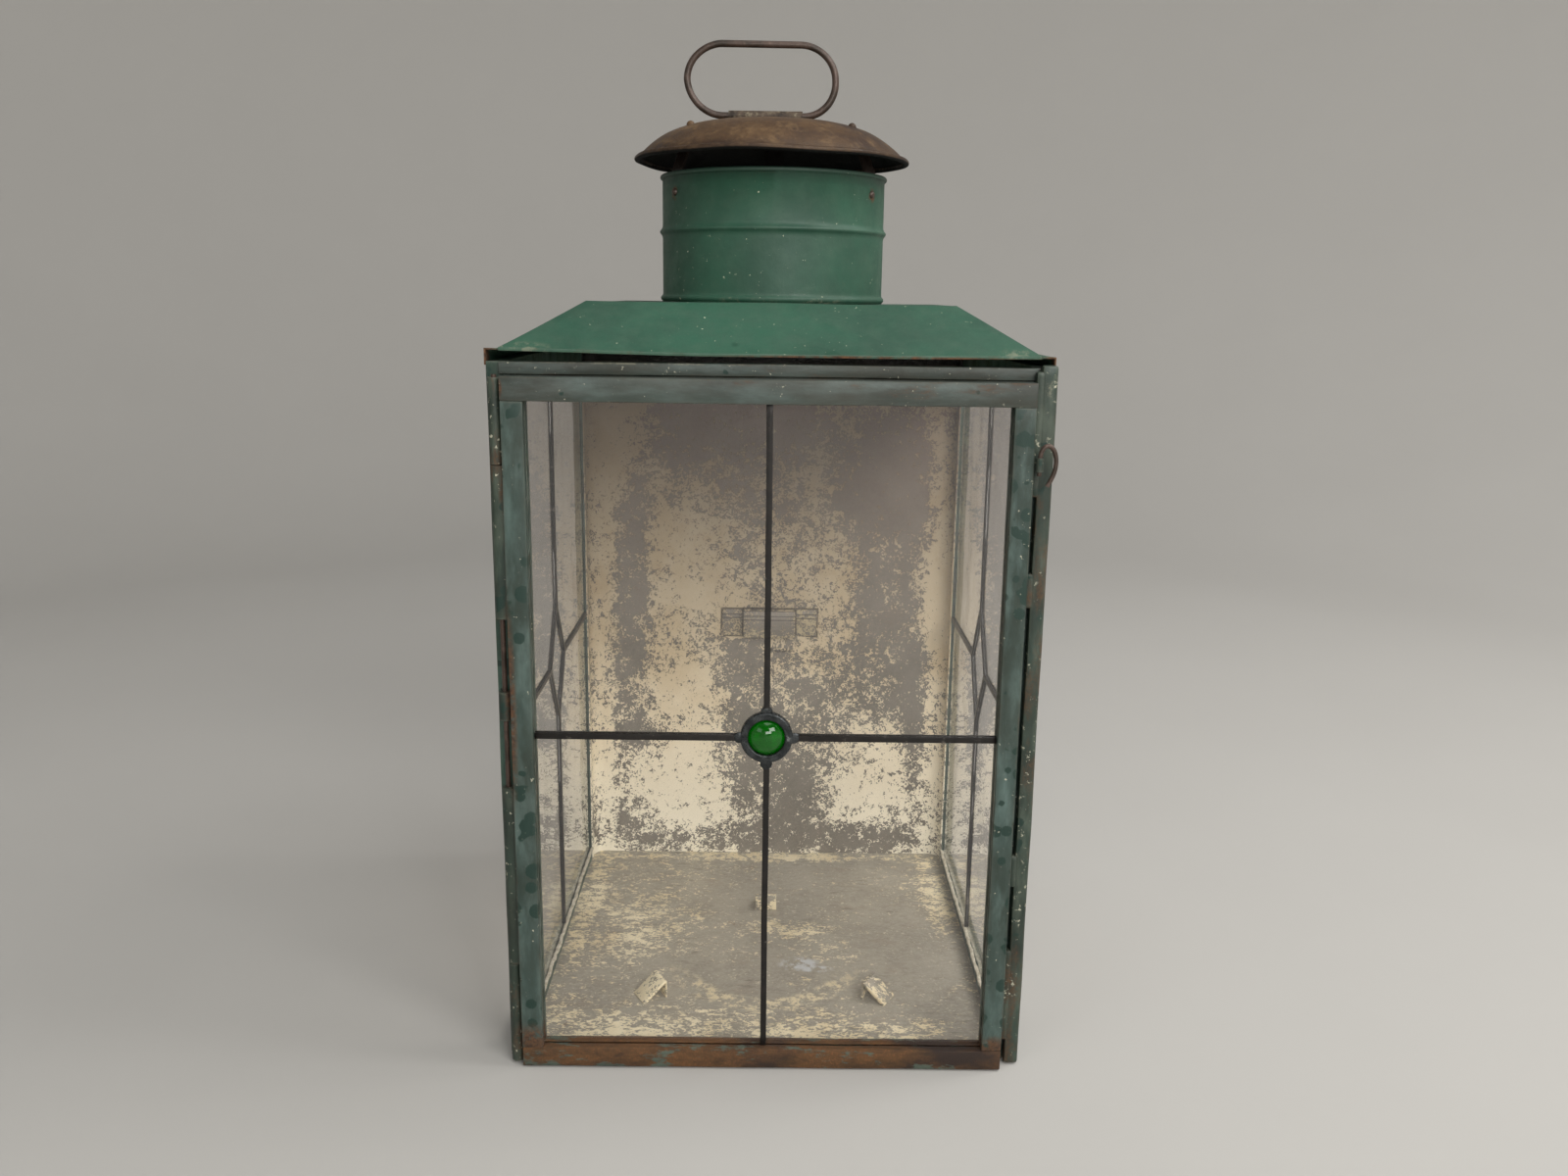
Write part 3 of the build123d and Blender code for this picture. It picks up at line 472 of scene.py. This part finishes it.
# painted light: the cream is lighter towards the floor
paintedLightLow = add(tree, "MapRange", {0: up, 1: panelMarks["paintedLightFrom"] * mm, 2: panelMarks["paintedLightTo"] * mm})
# painted shade, with some soot, on the top edge where it shows through the gap under the roof
gapShadeAndSoot = add(tree, "MapRange", {0: up, 1: panelMarks["gapShadeAndSootFrom"] * mm, 2: panelMarks["gapShadeAndSootTo"] * mm})
# painted shade round the raised strap and in the slot under it
strapContactShade = overlap(tree, rectangleShadeLine(tree, place, (0, 181.8), (34.9, 10.2), 1.1),
                    clouds(tree, place, 9, 0.36, 0.46, detail=5, seed=21))
slotShade = overlap(tree, region(tree, place, [((8, 132, 160.5), (9, 60, 1.6))], 0.4),
                   clouds(tree, place, 4, 0.40, 0.50, detail=5, seed=22))
# the outer face of the same sheet is painted green
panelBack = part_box("back_panel")[1][1] - panelMarks["skin"] * mm
outer = add(tree, "Math", {0: add(tree, "SeparateXYZ", {0: place}, "Y"), 1: panelBack},
            operation="GREATER_THAN")
greenOut = coats(
    tree, srgb(panelMarks["green"]),
    (clouds(tree, place, 120, 0.35, 0.65, seed=9), srgb(panelMarks["greenWorn"])),
    (clouds(tree, place, 20, 0.64, 0.72, detail=9, rough=0.78, seed=10), srgb(panelMarks["rust"])),
    (clouds(tree, place, 4, 0.69, 0.72, seed=11), srgb(panelMarks["chip"])),
)
colour = coats(
    tree, colour,
    # painted light on the lower cream
    (overlap(tree, paintShare, paintedLightLow), srgb(panelMarks["clean"])),
    # painted shade round the strap and in the slot
    (overlap(tree, either(tree, strapContactShade, slotShade), 0.8), srgb(panelMarks["contactShadeTone"])),
    # painted shade and soot in the gap under the roof
    (gapShadeAndSoot, srgb(panelMarks["gapShadeAndSootTone"])),
    (outer, greenOut),
)
metal = add(tree, "Math", {0: metal, 1: either(tree, outer, gapShadeAndSoot)}, operation="SUBTRACT", use_clamp=True)
finish(tree, shader, colour, rough, height, 0.30, metal)

# the floor keeps paint in its corners and round the ring that the lamp's foot left
floorKept = [
    ((-90, 0, 0), (22, 34, 60)), ((12, 12, 0), (30, 10, 60)), ((-60, -104, 0), (60, 14, 60)),
    ((52, -110, 0), (56, 14, 60)), ((0, -92, 0), (60, 8, 60)), ((0, 124, 0), (140, 7, 60)),
    ((118, 60, 0), (9, 70, 60)), ((-122, 60, 0), (8, 80, 60)),
]
floorLost = [((20, -60, 0), (60, 30, 60)), ((30, 70, 0), (80, 40, 60)), ((90, -10, 0), (30, 70, 60))]
floorPaint = dict(
    creamPaint, cream="eee2c2", creamWarm="e0d0ab", tin="a49e91", tinDark="928c80", tinLight="c9c3b5",
    tinStain="94826c", tinMetal=0.35, level=0.585, pull=0.13, flake=6, pits=0.06, stretch=(0.6, 1, 1),
    sootAndRoofShadeFrom=100, sootAndRoofShadeTo=200, seed=5.0)
floorLook, tree, shader, place, colour, rough, height, metal = flakedCream(
    "tinFloorWithCreamRemains", floorPaint, floorKept, floorLost)
floorMarks = {"scuff": "6a6456", "speck": "dcd4bf", "ring": "e6d9b8", "smear": "d0d3d6", "rust": "7d5b3b",
              "shadedUnderside": "4f4a3e", "skin": 0.4}
# the ring that the lamp's foot left, in metres: only its front part shows
lampFoot = {"centre": (0.0, -0.028, 0.0), "inner": 0.045, "outer": 0.059, "edge": 0.004,
            "frontFrom": -0.035, "frontTo": -0.060}
flat = add(tree, "Mapping", {0: place, 1: [-v for v in lampFoot["centre"]], 3: (1, 1, 0)})
reach = add(tree, "VectorMath", {0: flat}, "Value", operation="LENGTH")
depthwise = add(tree, "SeparateXYZ", {0: place}, "Y")
ringMark = overlap(
    tree,
    add(tree, "MapRange", {0: reach, 1: lampFoot["inner"], 2: lampFoot["inner"] + lampFoot["edge"]}),
    add(tree, "MapRange", {0: reach, 1: lampFoot["outer"] + lampFoot["edge"], 2: lampFoot["outer"]}),
    add(tree, "MapRange", {0: depthwise, 1: lampFoot["frontFrom"], 2: lampFoot["frontTo"]}),
    clouds(tree, place, 7, 0.48, 0.56, detail=8, rough=0.78, seed=14),
)
smear = overlap(tree, region(tree, place, [((22, -34, 0), (12, 8, 60)), ((32, -40, 0), (10, 4, 60))], 0.3),
                clouds(tree, place, 7, 0.44, 0.56, detail=7, rough=0.7, seed=15))
spots = clouds(tree, place, 14, 0.62, 0.70, detail=8, rough=0.74, seed=16)
specks = overlap(tree, clouds(tree, place, 2.2, 0.60, 0.66, detail=4, seed=17),
                 clouds(tree, place, 30, 0.42, 0.60, seed=18))
sideways = add(tree, "Mapping", {0: place, 3: (0.25, 1, 1)})
scuffs = overlap(tree, clouds(tree, sideways, 4, 0.56, 0.66, detail=6, seed=19),
                 clouds(tree, place, 40, 0.40, 0.60, seed=20), 0.5)
# the bottom skin below 0.4 mm is painted dark: painted shade where the floor meets the paper
paintedUnderShade = add(tree, "Math", {0: add(tree, "SeparateXYZ", {0: place}, "Z"), 1: floorMarks["skin"] * mm},
            operation="LESS_THAN")
colour = coats(
    tree, colour,
    (scuffs, srgb(floorMarks["scuff"])),
    (specks, srgb(floorMarks["speck"])),
    (ringMark, srgb(floorMarks["ring"])),
    (smear, srgb(floorMarks["smear"])),
    (overlap(tree, spots, 0.6), srgb(floorMarks["rust"])),
    # painted shade on the underside
    (paintedUnderShade, srgb(floorMarks["shadedUnderside"])),
)
finish(tree, shader, colour, rough, height, 0.28, metal)

nowhere = [((0, 0, 900), (1, 1, 1))]    # these pieces have no patches of their own
clipPaint = dict(floorPaint, level=0.47, flake=7, tin="8a8578", tinLight="b3ad9f", seed=7.0)
clipLook, tree, shader, place, colour, rough, height, metal = flakedCream(
    "tinClipWithCreamRemains", clipPaint, nowhere, nowhere)
finish(tree, shader, colour, rough, height, 0.2, metal)

strapPaint = dict(creamPaint, level=0.52, flake=4, cream="d9caa6", seed=9.0)
strapLook, tree, shader, place, colour, rough, height, metal = flakedCream(
    "tinStrapWithCreamRemains", strapPaint, nowhere, [((4, 125, 182), (16, 9, 9))])
# painted shade round the strap's raised parts and along its folds
strapOutlineShade = either(tree, rectangleShadeLine(tree, place, (0, 181.8), (19.2, 20), 0.9),
               rectangleShadeLine(tree, place, (0, 186.5), (60, 1.4), 0.6), edges(tree, 1.2))
colour = coats(tree, colour, (overlap(tree, strapOutlineShade, 0.75), srgb(panelMarks["contactShadeTone"])))
finish(tree, shader, colour, rough, height, 0.25, metal)


# lead came and the solder on it: soft grey metal gone dark, with bright rubbed crowns that are partly painted
# glints
def agedLead(name, recipe):
    material, tree, shader, place = newMaterial(name, {"Metallic": recipe["metal"]})
    mid = clouds(tree, place, 6, 0.35, 0.70, detail=5, seed=recipe["seed"])
    fine = clouds(tree, place, 1.0, 0.35, 0.70, detail=4, seed=recipe["seed"] + 1)
    # bright patches: rubbed lead, with painted glints
    rubAndGlint = clouds(tree, place, 8, 0.62, 0.70, detail=4, seed=recipe["seed"] + 2)
    colour = coats(tree, srgb(recipe["dark"]), (mid, srgb(recipe["body"])),
                   (overlap(tree, rubAndGlint, recipe["glint"]), srgb(recipe["rubAndGlint"])))
    rough = weigh(tree, (fine, 0.22), (rubAndGlint, -0.08), (recipe["rough"], 1.0))
    finish(tree, shader, colour, rough, weigh(tree, (mid, 0.6), (fine, 0.3)), 0.2)
    return material


cameLook = agedLead("agedLeadCame", {"dark": "120f0d", "body": "201b18", "rubAndGlint": "77716a", "metal": 0.3,
                                     "rough": 0.30, "glint": 0.7, "seed": 0.0})
solderLook = agedLead("tinLeadSolder", {"dark": "26292a", "body": "474a4b", "rubAndGlint": "989a9a", "metal": 0.75,
                                        "rough": 0.24, "glint": 0.7, "seed": 3.0})

# dried glazing putty: chalky off-white, cracked and dirty
puttyTones = {"dirt": "a39a86", "chalk": "c9c2b0", "clean": "e2dece"}
puttyLook, tree, shader, place = newMaterial("driedGlazingPutty", {"IOR": 1.45})
mid = clouds(tree, place, 5, 0.35, 0.65, detail=6, rough=0.7)
fine = clouds(tree, place, 1.0, 0.4, 0.7, detail=4, seed=1)
chalk = coats(tree, srgb(puttyTones["dirt"]), (mid, srgb(puttyTones["chalk"])),
              (overlap(tree, fine, mid), srgb(puttyTones["clean"])))
finish(tree, shader, chalk, weigh(tree, (fine, 0.1), (0.8, 1.0)), weigh(tree, (mid, 0.5), (fine, 0.5)), 0.3)


# old drawn window glass and pressed glass: nearly flat, a slow wave bends reflections, light passes through
def clearGlass(name, recipe):
    material, tree, shader, place = newMaterial(name, {
        "Base Color": srgb(recipe["tint"]), "Roughness": recipe["rough"], "IOR": 1.52,
        "Transmission Weight": recipe["clear"], "Specular IOR Level": recipe["shine"]})
    wave = clouds(tree, place, recipe["wave"], 0.2, 0.8, detail=2, rough=0.4)
    tree.links.new(add(tree, "Bump", {"Strength": 0.5, "Distance": recipe["depth"] * mm, "Height": wave}),
                   shader.inputs["Normal"])
    clear = add(tree, "BsdfTransparent", {0: srgb(recipe["tint"])})
    rays = [add(tree, "LightPath", pick=ray) for ray in ("Is Shadow Ray", "Is Diffuse Ray")]
    mixed = add(tree, "MixShader", {0: either(tree, *rays), 1: shader.outputs[0], 2: clear})
    tree.links.new(mixed, tree.nodes["Material Output"].inputs["Surface"])
    return material


paneLook = clearGlass("drawnWindowGlass", {
    "tint": "fbfaf9", "rough": 0.0, "clear": 1.0, "shine": 0.5, "wave": 60, "depth": 0.3})
jewelLook = clearGlass("pressedGreenGlass", {
    "tint": "017a04", "rough": 0.02, "clear": 0.75, "shine": 0.22, "wave": 9, "depth": 0.15})

# every CAD node gets the look of its own metal, glass or paint
lookNodes = {
    roofLook: "roof collar",
    sideLook: "rear_left_post rear_right_post left_sill right_sill left_header right_header front_left_post",
    railLook: "front_header door_top_rail",
    stileLook: "door_left_stile door_right_stile front_right_post",
    hingeLook: "door_knuckles body_knuckles rolled_edge latch_eye",
    sillLook: "door_bottom_rail",
    reflectorLook: "back_panel",
    strapLook: "reflector_strap",
    floorLook: "floor_pan",
    clipLook: "font_clip_left font_clip_right font_clip_rear",
    capLook: "cap cap_rivets",
    sleeveLook: "handle_sleeve",
    sootedAndShadedStayLook: "cap_stays",
    wireLook: "handle hinge_pin edge_wire latch_hook collar_rivets",
    cameLook: "left_cames right_cames door_cames",
    solderLook: "jewel_ring",
    paneLook: "left_glass right_glass door_glass",
    jewelLook: "jewel",
}
looks = {node: look for look, names in lookNodes.items() for node in names.split()}
for name, thing in frame["nodes"].items():
    thing.data.materials.clear()
    thing.data.materials.append(looks[name])
bodyOf = {node: body for body, nodes in frame["record"]["behaviour"]["bodies"].items() for node in nodes}
print("materials made")


# noise_vector takes its offsets from the clock unless it is seeded; this gives the same dents every run
noise.seed_set(1)


# small tools for shapes
def makeObject(name, shape, look, body, smooth=35):
    data = bpy.data.meshes.new(name)
    shape.to_mesh(data)
    shape.free()
    data.materials.append(look)
    data.shade_smooth()
    data.set_sharp_from_angle(angle=radians(smooth))
    thing = bpy.data.objects.new(name, data)
    bpy.context.scene.collection.objects.link(thing)
    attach(thing, body)
    return thing


def drift(place, size, seed):
    # a smooth wandering vector, about -1 to 1, that changes over size mm
    return noise.noise_vector(Vector(place) / (size * mm) + Vector((seed, seed * 2.3, -seed)))


def openCopy(node, flat=1.5):
    # a CAD node's mesh, welded, with its flat faces made whole
    shape = bmesh.new()
    shape.from_mesh(frame["nodes"][node].data)
    bmesh.ops.remove_doubles(shape, verts=shape.verts, dist=0.004 * mm)
    if flat:
        bmesh.ops.dissolve_limit(shape, angle_limit=radians(flat), verts=shape.verts, edges=shape.edges)
    return shape


def slices(shape, axis, pitch):
    # cuts right through every pitch mm, so that the sheet can bend
    low = min(vert.co[axis] for vert in shape.verts)
    high = max(vert.co[axis] for vert in shape.verts)
    count = int((high - low) / (pitch * mm))
    normal = Vector([1.0 if i == axis else 0.0 for i in range(3)])
    for index in range(1, count):
        spot = normal * (low + (high - low) * index / count)
        parts = list(shape.verts) + list(shape.edges) + list(shape.faces)
        bmesh.ops.bisect_plane(shape, geom=parts, plane_co=spot, plane_no=normal)


def rounded(shape, width, least=35):
    # rounds every fold sharper than least degrees
    folds = [edge for edge in shape.edges if edge.is_manifold and edge.calc_face_angle(0) > radians(least)]
    bmesh.ops.bevel(shape, geom=folds, offset=width * mm, offset_type="OFFSET", affect="EDGES", segments=2,
                    profile=0.5, material=-1, clamp_overlap=True)


def handWorked(node, recipe, seed):
    # a member as a tinsmith leaves it: rounded folds and sides that wander a little
    shape = openCopy(node)
    rounded(shape, recipe["fold"])
    low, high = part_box(node)
    slices(shape, max(range(3), key=lambda i: high[i] - low[i]), recipe["cut"])
    for vert in shape.verts:
        vert.co += drift(vert.co, recipe["length"], seed) * recipe["wander"] * mm
    thing = makeObject(node + "_worked", shape, looks[node], bodyOf[node], 40)
    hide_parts(node)


tinMember = {"fold": 0.45, "cut": 9, "wander": 0.30, "length": 45}
for seed, node in enumerate([
    "front_left_post", "front_right_post", "rear_left_post", "rear_right_post", "left_sill", "right_sill",
    "left_header", "right_header", "front_header", "door_left_stile", "door_right_stile", "door_top_rail",
    "door_bottom_rail",
]):
    handWorked(node, tinMember, seed * 1.7)
leadMember = {"fold": 0.7, "cut": 7, "wander": 0.30, "length": 30}
for seed, node in enumerate(["left_cames", "right_cames", "door_cames"]):
    handWorked(node, leadMember, 20 + seed)
clipMember = {"fold": 0.22, "cut": 3, "wander": 0.30, "length": 12}
for seed, node in enumerate(["font_clip_left", "font_clip_right", "font_clip_rear", "reflector_strap"]):
    handWorked(node, clipMember, 30 + seed)
print("tin and lead members worked")

# the roof sheet: the front eave is bowed and the slopes are a little dented
roofSetup = {"cut": 9, "dent": 0.55, "dentLength": 75, "eaveLift": 1.6, "eaveSag": 0.7, "fold": 0.8,
             "rightShare": 0.3, "bowFrom": 85, "bowOver": 50}
shape = openCopy("roof")
rounded(shape, roofSetup["fold"], 20)
slices(shape, 0, roofSetup["cut"])
slices(shape, 1, roofSetup["cut"])
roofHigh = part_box("roof")[1]
for vert in shape.verts:
    across = vert.co.x / roofHigh[0]
    front = max(0.0, min(1.0, (-vert.co.y / mm - roofSetup["bowFrom"]) / roofSetup["bowOver"]))
    lift = roofSetup["eaveLift"] * across ** 4 * (1.0 if across < 0 else roofSetup["rightShare"])
    sag = roofSetup["eaveSag"] * (1 - across ** 2) * across
    vert.co.z += front * front * (lift - sag) * mm
    vert.co += drift(vert.co, roofSetup["dentLength"], 50) * roofSetup["dent"] * mm
roofSkin = makeObject("roof_skin", shape, roofLook, "lantern", 30)
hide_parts("roof")


def worn(node, amount, size, seed, shape=None, keep=None):
    # rolled sheet that is no longer quite true
    shape = shape or openCopy(node, 0)
    for vert in shape.verts:
        share = keep(vert.co) if keep else 1.0
        vert.co += drift(vert.co, size, seed) * amount * mm * share
    thing = makeObject(node + "_worn", shape, looks[node], bodyOf[node], 35)
    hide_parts(node)


# the collar's two beads are soft swells rolled in the sheet
beadSetup = {
    "beads": [(449, 1.7, 1.6), (411.9, 1.4, 1.3)],    # height, spread and swell in mm
    "radius": 64, "reach": 5, "step": 0.8, "cuts": 6, "slack": 0.3,
}
shape = openCopy("collar", 0)
for high, _, _ in beadSetup["beads"]:
    for cut in range(-beadSetup["cuts"], beadSetup["cuts"] + 1):
        level = (high + cut * beadSetup["step"]) * mm
        bmesh.ops.bisect_plane(shape, geom=shape.verts[:] + shape.edges[:] + shape.faces[:], dist=1e-7,
                               plane_co=(0, 0, level), plane_no=(0, 0, 1))
for vert in shape.verts:
    radius = vert.co.xy.length / mm
    for high, spread, swell in beadSetup["beads"]:
        above = vert.co.z / mm - high
        wanted = beadSetup["radius"] + swell * exp(-((above / spread) ** 2))
        if beadSetup["radius"] - beadSetup["slack"] < radius < wanted and abs(above) < beadSetup["reach"]:
            vert.co.x *= wanted / radius
            vert.co.y *= wanted / radius
worn("collar", 0.22, 70, 60, shape)

# the cap's rim is a little dented and drawn in
rimSetup = {"from": 58, "over": 18, "pull": 1.2, "dent": 1.3, "dentLength": 42}
capLow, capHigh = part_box("cap")
capMiddle = (Vector(capLow) + Vector(capHigh)) / 2


def rimShare(spot):
    return max(0.0, min(1.0, ((spot - capMiddle).xy.length / mm - rimSetup["from"]) / rimSetup["over"]))


shape = openCopy("cap", 0)
for vert in shape.verts:
    out = vert.co - capMiddle
    out.z = 0
    if out.length > rimSetup["from"] * mm:
        vert.co -= out.normalized() * rimSetup["pull"] * rimShare(vert.co) * mm
worn("cap", rimSetup["dent"], rimSetup["dentLength"], 64, shape, rimShare)
worn("handle_sleeve", 0.35, 9, 66)

# the carrying wire: its top run is a little arched, and it leans to the left
arch = {"rise": 1.3, "wander": 0.35, "length": 22, "lean": 1.4, "stout": 0.2}
shape = openCopy("handle", 0)
shape.normal_update()
wireLow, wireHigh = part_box("handle")
wireMiddle = (wireLow[0] + wireHigh[0]) / 2
for vert in shape.verts:
    rise = (vert.co.z - wireLow[2]) / (wireHigh[2] - wireLow[2])
    up = max(0.0, rise - 0.5) * 2
    side = (vert.co.x - wireMiddle) / (wireHigh[0] - wireMiddle)
    vert.co += vert.normal * arch["stout"] * mm
    vert.co.z -= up * arch["rise"] * mm * side * side
    rise = (vert.co.z - wireLow[2]) / (wireHigh[2] - wireLow[2])
    vert.co.x -= min(1.0, 2 * rise) * arch["lean"] * mm
    vert.co += drift((vert.co.x, 0, vert.co.z), arch["length"], 70) * arch["wander"] * mm * up
thing = makeObject("handle_wire", shape, wireLook, "handle")
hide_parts("handle")
print("roof, chimney, cap and handle shaped")

# solder on the door cames: flattened drops where they meet the jewel ring
solderSetup = {"flat": 0.32, "wander": 0.35, "radius": 3.0, "beyond": 0.8, "behind": 0.6}


def solderDrops(name, spots, normal, body):
    shape = bmesh.new()
    for index, (spot, radius) in enumerate(spots):
        drop = bmesh.ops.create_uvsphere(shape, u_segments=16, v_segments=10, radius=radius * mm)["verts"]
        squeeze = [solderSetup["flat"] if normal[i] else 1.0 for i in range(3)]
        bmesh.ops.scale(shape, vec=squeeze, verts=drop)
        for vert in drop:
            vert.co += drift(vert.co, radius * 1.4, index * 3.1) * solderSetup["wander"] * mm
        bmesh.ops.translate(shape, vec=Vector(spot), verts=drop)
    return makeObject(name, shape, solderLook, body, 60)


ringLow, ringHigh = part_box("jewel_ring")
ringMiddle = (Vector(ringLow) + Vector(ringHigh)) / 2
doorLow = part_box("door_cames")[0]
ringReach = (ringHigh[0] - ringLow[0]) / 2
frontOfLead = doorLow[1] + solderSetup["behind"] * mm
away = ringReach + solderSetup["beyond"] * mm
joins = [(ringMiddle.x + side * away, frontOfLead, ringMiddle.z) for side in (-1, 1)]
joins += [(ringMiddle.x, frontOfLead, ringMiddle.z + side * away) for side in (-1, 1)]
solderDrops("door_solder", [(spot, solderSetup["radius"]) for spot in joins], (0, 1, 0), "door")
print("solder added")

# the latch wire: up through its eye, over in a hook and back; the path is in mm from the hook's own corner
hookSetup = {
    "wire": 1.15, "steps": 5, "aside": 0.4,
    "path": [(0.6, 5.6), (0.6, 11.5), (0.8, 17.0), (3.0, 20.5), (6.2, 20.2), (8.5, 15.8), (8.7, 9.8),
             (7.0, 4.2), (4.8, 0.4)],
}
hookLow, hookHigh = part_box("latch_hook")
wire = bpy.data.curves.new("latch_wire", "CURVE")
wire.dimensions = "3D"
wire.bevel_depth = hookSetup["wire"] * mm
wire.bevel_resolution = 5
wire.resolution_u = hookSetup["steps"]
wire.use_fill_caps = True
line = wire.splines.new("NURBS")
line.points.add(len(hookSetup["path"]) - 1)
for point, (x, z) in zip(line.points, hookSetup["path"]):
    point.co = (hookLow[0] + (x + hookSetup["aside"]) * mm, (hookLow[1] + hookHigh[1]) / 2,
                hookLow[2] + z * mm, 1)
line.use_endpoint_u = True
line.order_u = 3
wire.materials.append(wireLook)
latchWire = bpy.data.objects.new("latch_wire", wire)
bpy.context.scene.collection.objects.link(latchWire)
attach(latchWire, "latch_hook")
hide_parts("latch_hook")

# the right front edge is a flattened roll, joined to the post except where it is slotted
edgeSetup = {
    "joined": [(15, 69), (106, 124), (260, 278), (317, 379)],    # heights in mm
    "wide": 7.7, "gap": 0.5, "step": 0.12, "lap": 2, "inset": 1, "fold": 1.3, "cut": 5, "wander": 0.3,
    "length": 30,
}
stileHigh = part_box("door_right_stile")[1]
edgeLow, edgeHigh = [Vector(corner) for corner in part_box("rolled_edge")]
edgeLow.x = edgeHigh.x - edgeSetup["wide"] * mm
blocks = [(edgeLow, edgeHigh)]
webLeft = stileHigh[0] + edgeSetup["gap"] * mm
webFront = edgeLow.y + edgeSetup["step"] * mm
webRight = edgeLow.x + edgeSetup["lap"] * mm
webBack = edgeHigh.y - edgeSetup["inset"] * mm
for low, high in edgeSetup["joined"]:
    blocks.append((Vector((webLeft, webFront, low * mm)), Vector((webRight, webBack, high * mm))))
shape = bmesh.new()
for low, high in blocks:
    block = bmesh.ops.create_cube(shape, size=1)["verts"]
    bmesh.ops.scale(shape, vec=high - low, verts=block)
    bmesh.ops.translate(shape, vec=(low + high) / 2, verts=block)
rounded(shape, edgeSetup["fold"])
slices(shape, 2, edgeSetup["cut"])
for vert in shape.verts:
    vert.co += drift(vert.co, edgeSetup["length"], 80) * edgeSetup["wander"] * mm
edgeRoll = makeObject("rolled_edge_worked", shape, hingeLook, "lantern", 40)
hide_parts("rolled_edge", "edge_wire")

# glazing putty left along the foot of both side panes
puttySetup = {"width": 2.2, "high": 1.6, "cut": 2.5, "round": 0.5, "ragged": 0.66, "wavy": 0.5,
              "inward": 0.3, "above": 0.5, "short": 2}
for side, sill in (("left", "left_sill"), ("right", "right_sill")):
    low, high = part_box(sill)
    inner = high[0] if side == "left" else low[0]
    towards = 1 if side == "left" else -1
    shape = bmesh.new()
    strip = bmesh.ops.create_cube(shape, size=1)["verts"]
    long = high[1] - low[1] - puttySetup["short"] * mm
    bmesh.ops.scale(shape, vec=(puttySetup["width"] * mm, long, puttySetup["high"] * mm), verts=strip)
    spot = (inner + towards * puttySetup["inward"] * mm, 0, high[2] + puttySetup["above"] * mm)
    bmesh.ops.translate(shape, vec=spot, verts=strip)
    rounded(shape, puttySetup["round"])
    slices(shape, 1, puttySetup["cut"])
    for vert in shape.verts:
        ragged = drift(vert.co, 5, 90) * puttySetup["ragged"]
        wavy = drift(vert.co, 28, 91) * puttySetup["wavy"]
        vert.co += (ragged + wavy) * mm
    makeObject("glazing_putty_" + side, shape, puttyLook, "lantern", 50)
print("latch wire, front edge and putty added")

# a bowl of pale grey paper: floor and wall in one sweep
bowl = {"floor": 1.35, "wall": 2.35, "bend": 1.0, "top": 3.2, "bendSteps": 14, "turnSteps": 96,
        "tone": "b6b4b0", "pulpTone": "bebcb8"}
shape = bmesh.new()
profile = [shape.verts.new((0, 0, 0)), shape.verts.new((bowl["floor"], 0, 0))]
for index in range(1, bowl["bendSteps"] + 1):
    turn = pi / 2 * index / bowl["bendSteps"]
    out, up = bowl["bend"] * sin(turn), bowl["bend"] * (1 - cos(turn))
    profile.append(shape.verts.new((bowl["floor"] + out, 0, up)))
profile.append(shape.verts.new((bowl["wall"], 0, bowl["top"])))
line = [shape.edges.new(pair) for pair in zip(profile, profile[1:])]
bmesh.ops.spin(shape, geom=profile + line, cent=(0, 0, 0), axis=(0, 0, 1), angle=2 * pi,
               steps=bowl["turnSteps"], use_merge=True)
bmesh.ops.remove_doubles(shape, verts=shape.verts, dist=0.1 * mm)
bmesh.ops.recalc_face_normals(shape, faces=shape.faces)
data = bpy.data.meshes.new("paper_bowl")
shape.to_mesh(data)
shape.free()
data.shade_smooth()
paperLook, tree, shader, place = newMaterial("paleGreyPaper", {"IOR": 1.45})
pulp = clouds(tree, place, 260, 0.2, 0.8, detail=3)
grain = clouds(tree, place, 0.8, 0.3, 0.7)
paperTone = coats(tree, srgb(bowl["tone"]), (overlap(tree, pulp, 0.25), srgb(bowl["pulpTone"])))
finish(tree, shader, paperTone, weigh(tree, (pulp, 0.1), (0.75, 1.0)), grain, 0.02)
data.materials.append(paperLook)
paper = bpy.data.objects.new("paper_bowl", data)
bpy.context.scene.collection.objects.link(paper)
print("backdrop swept")
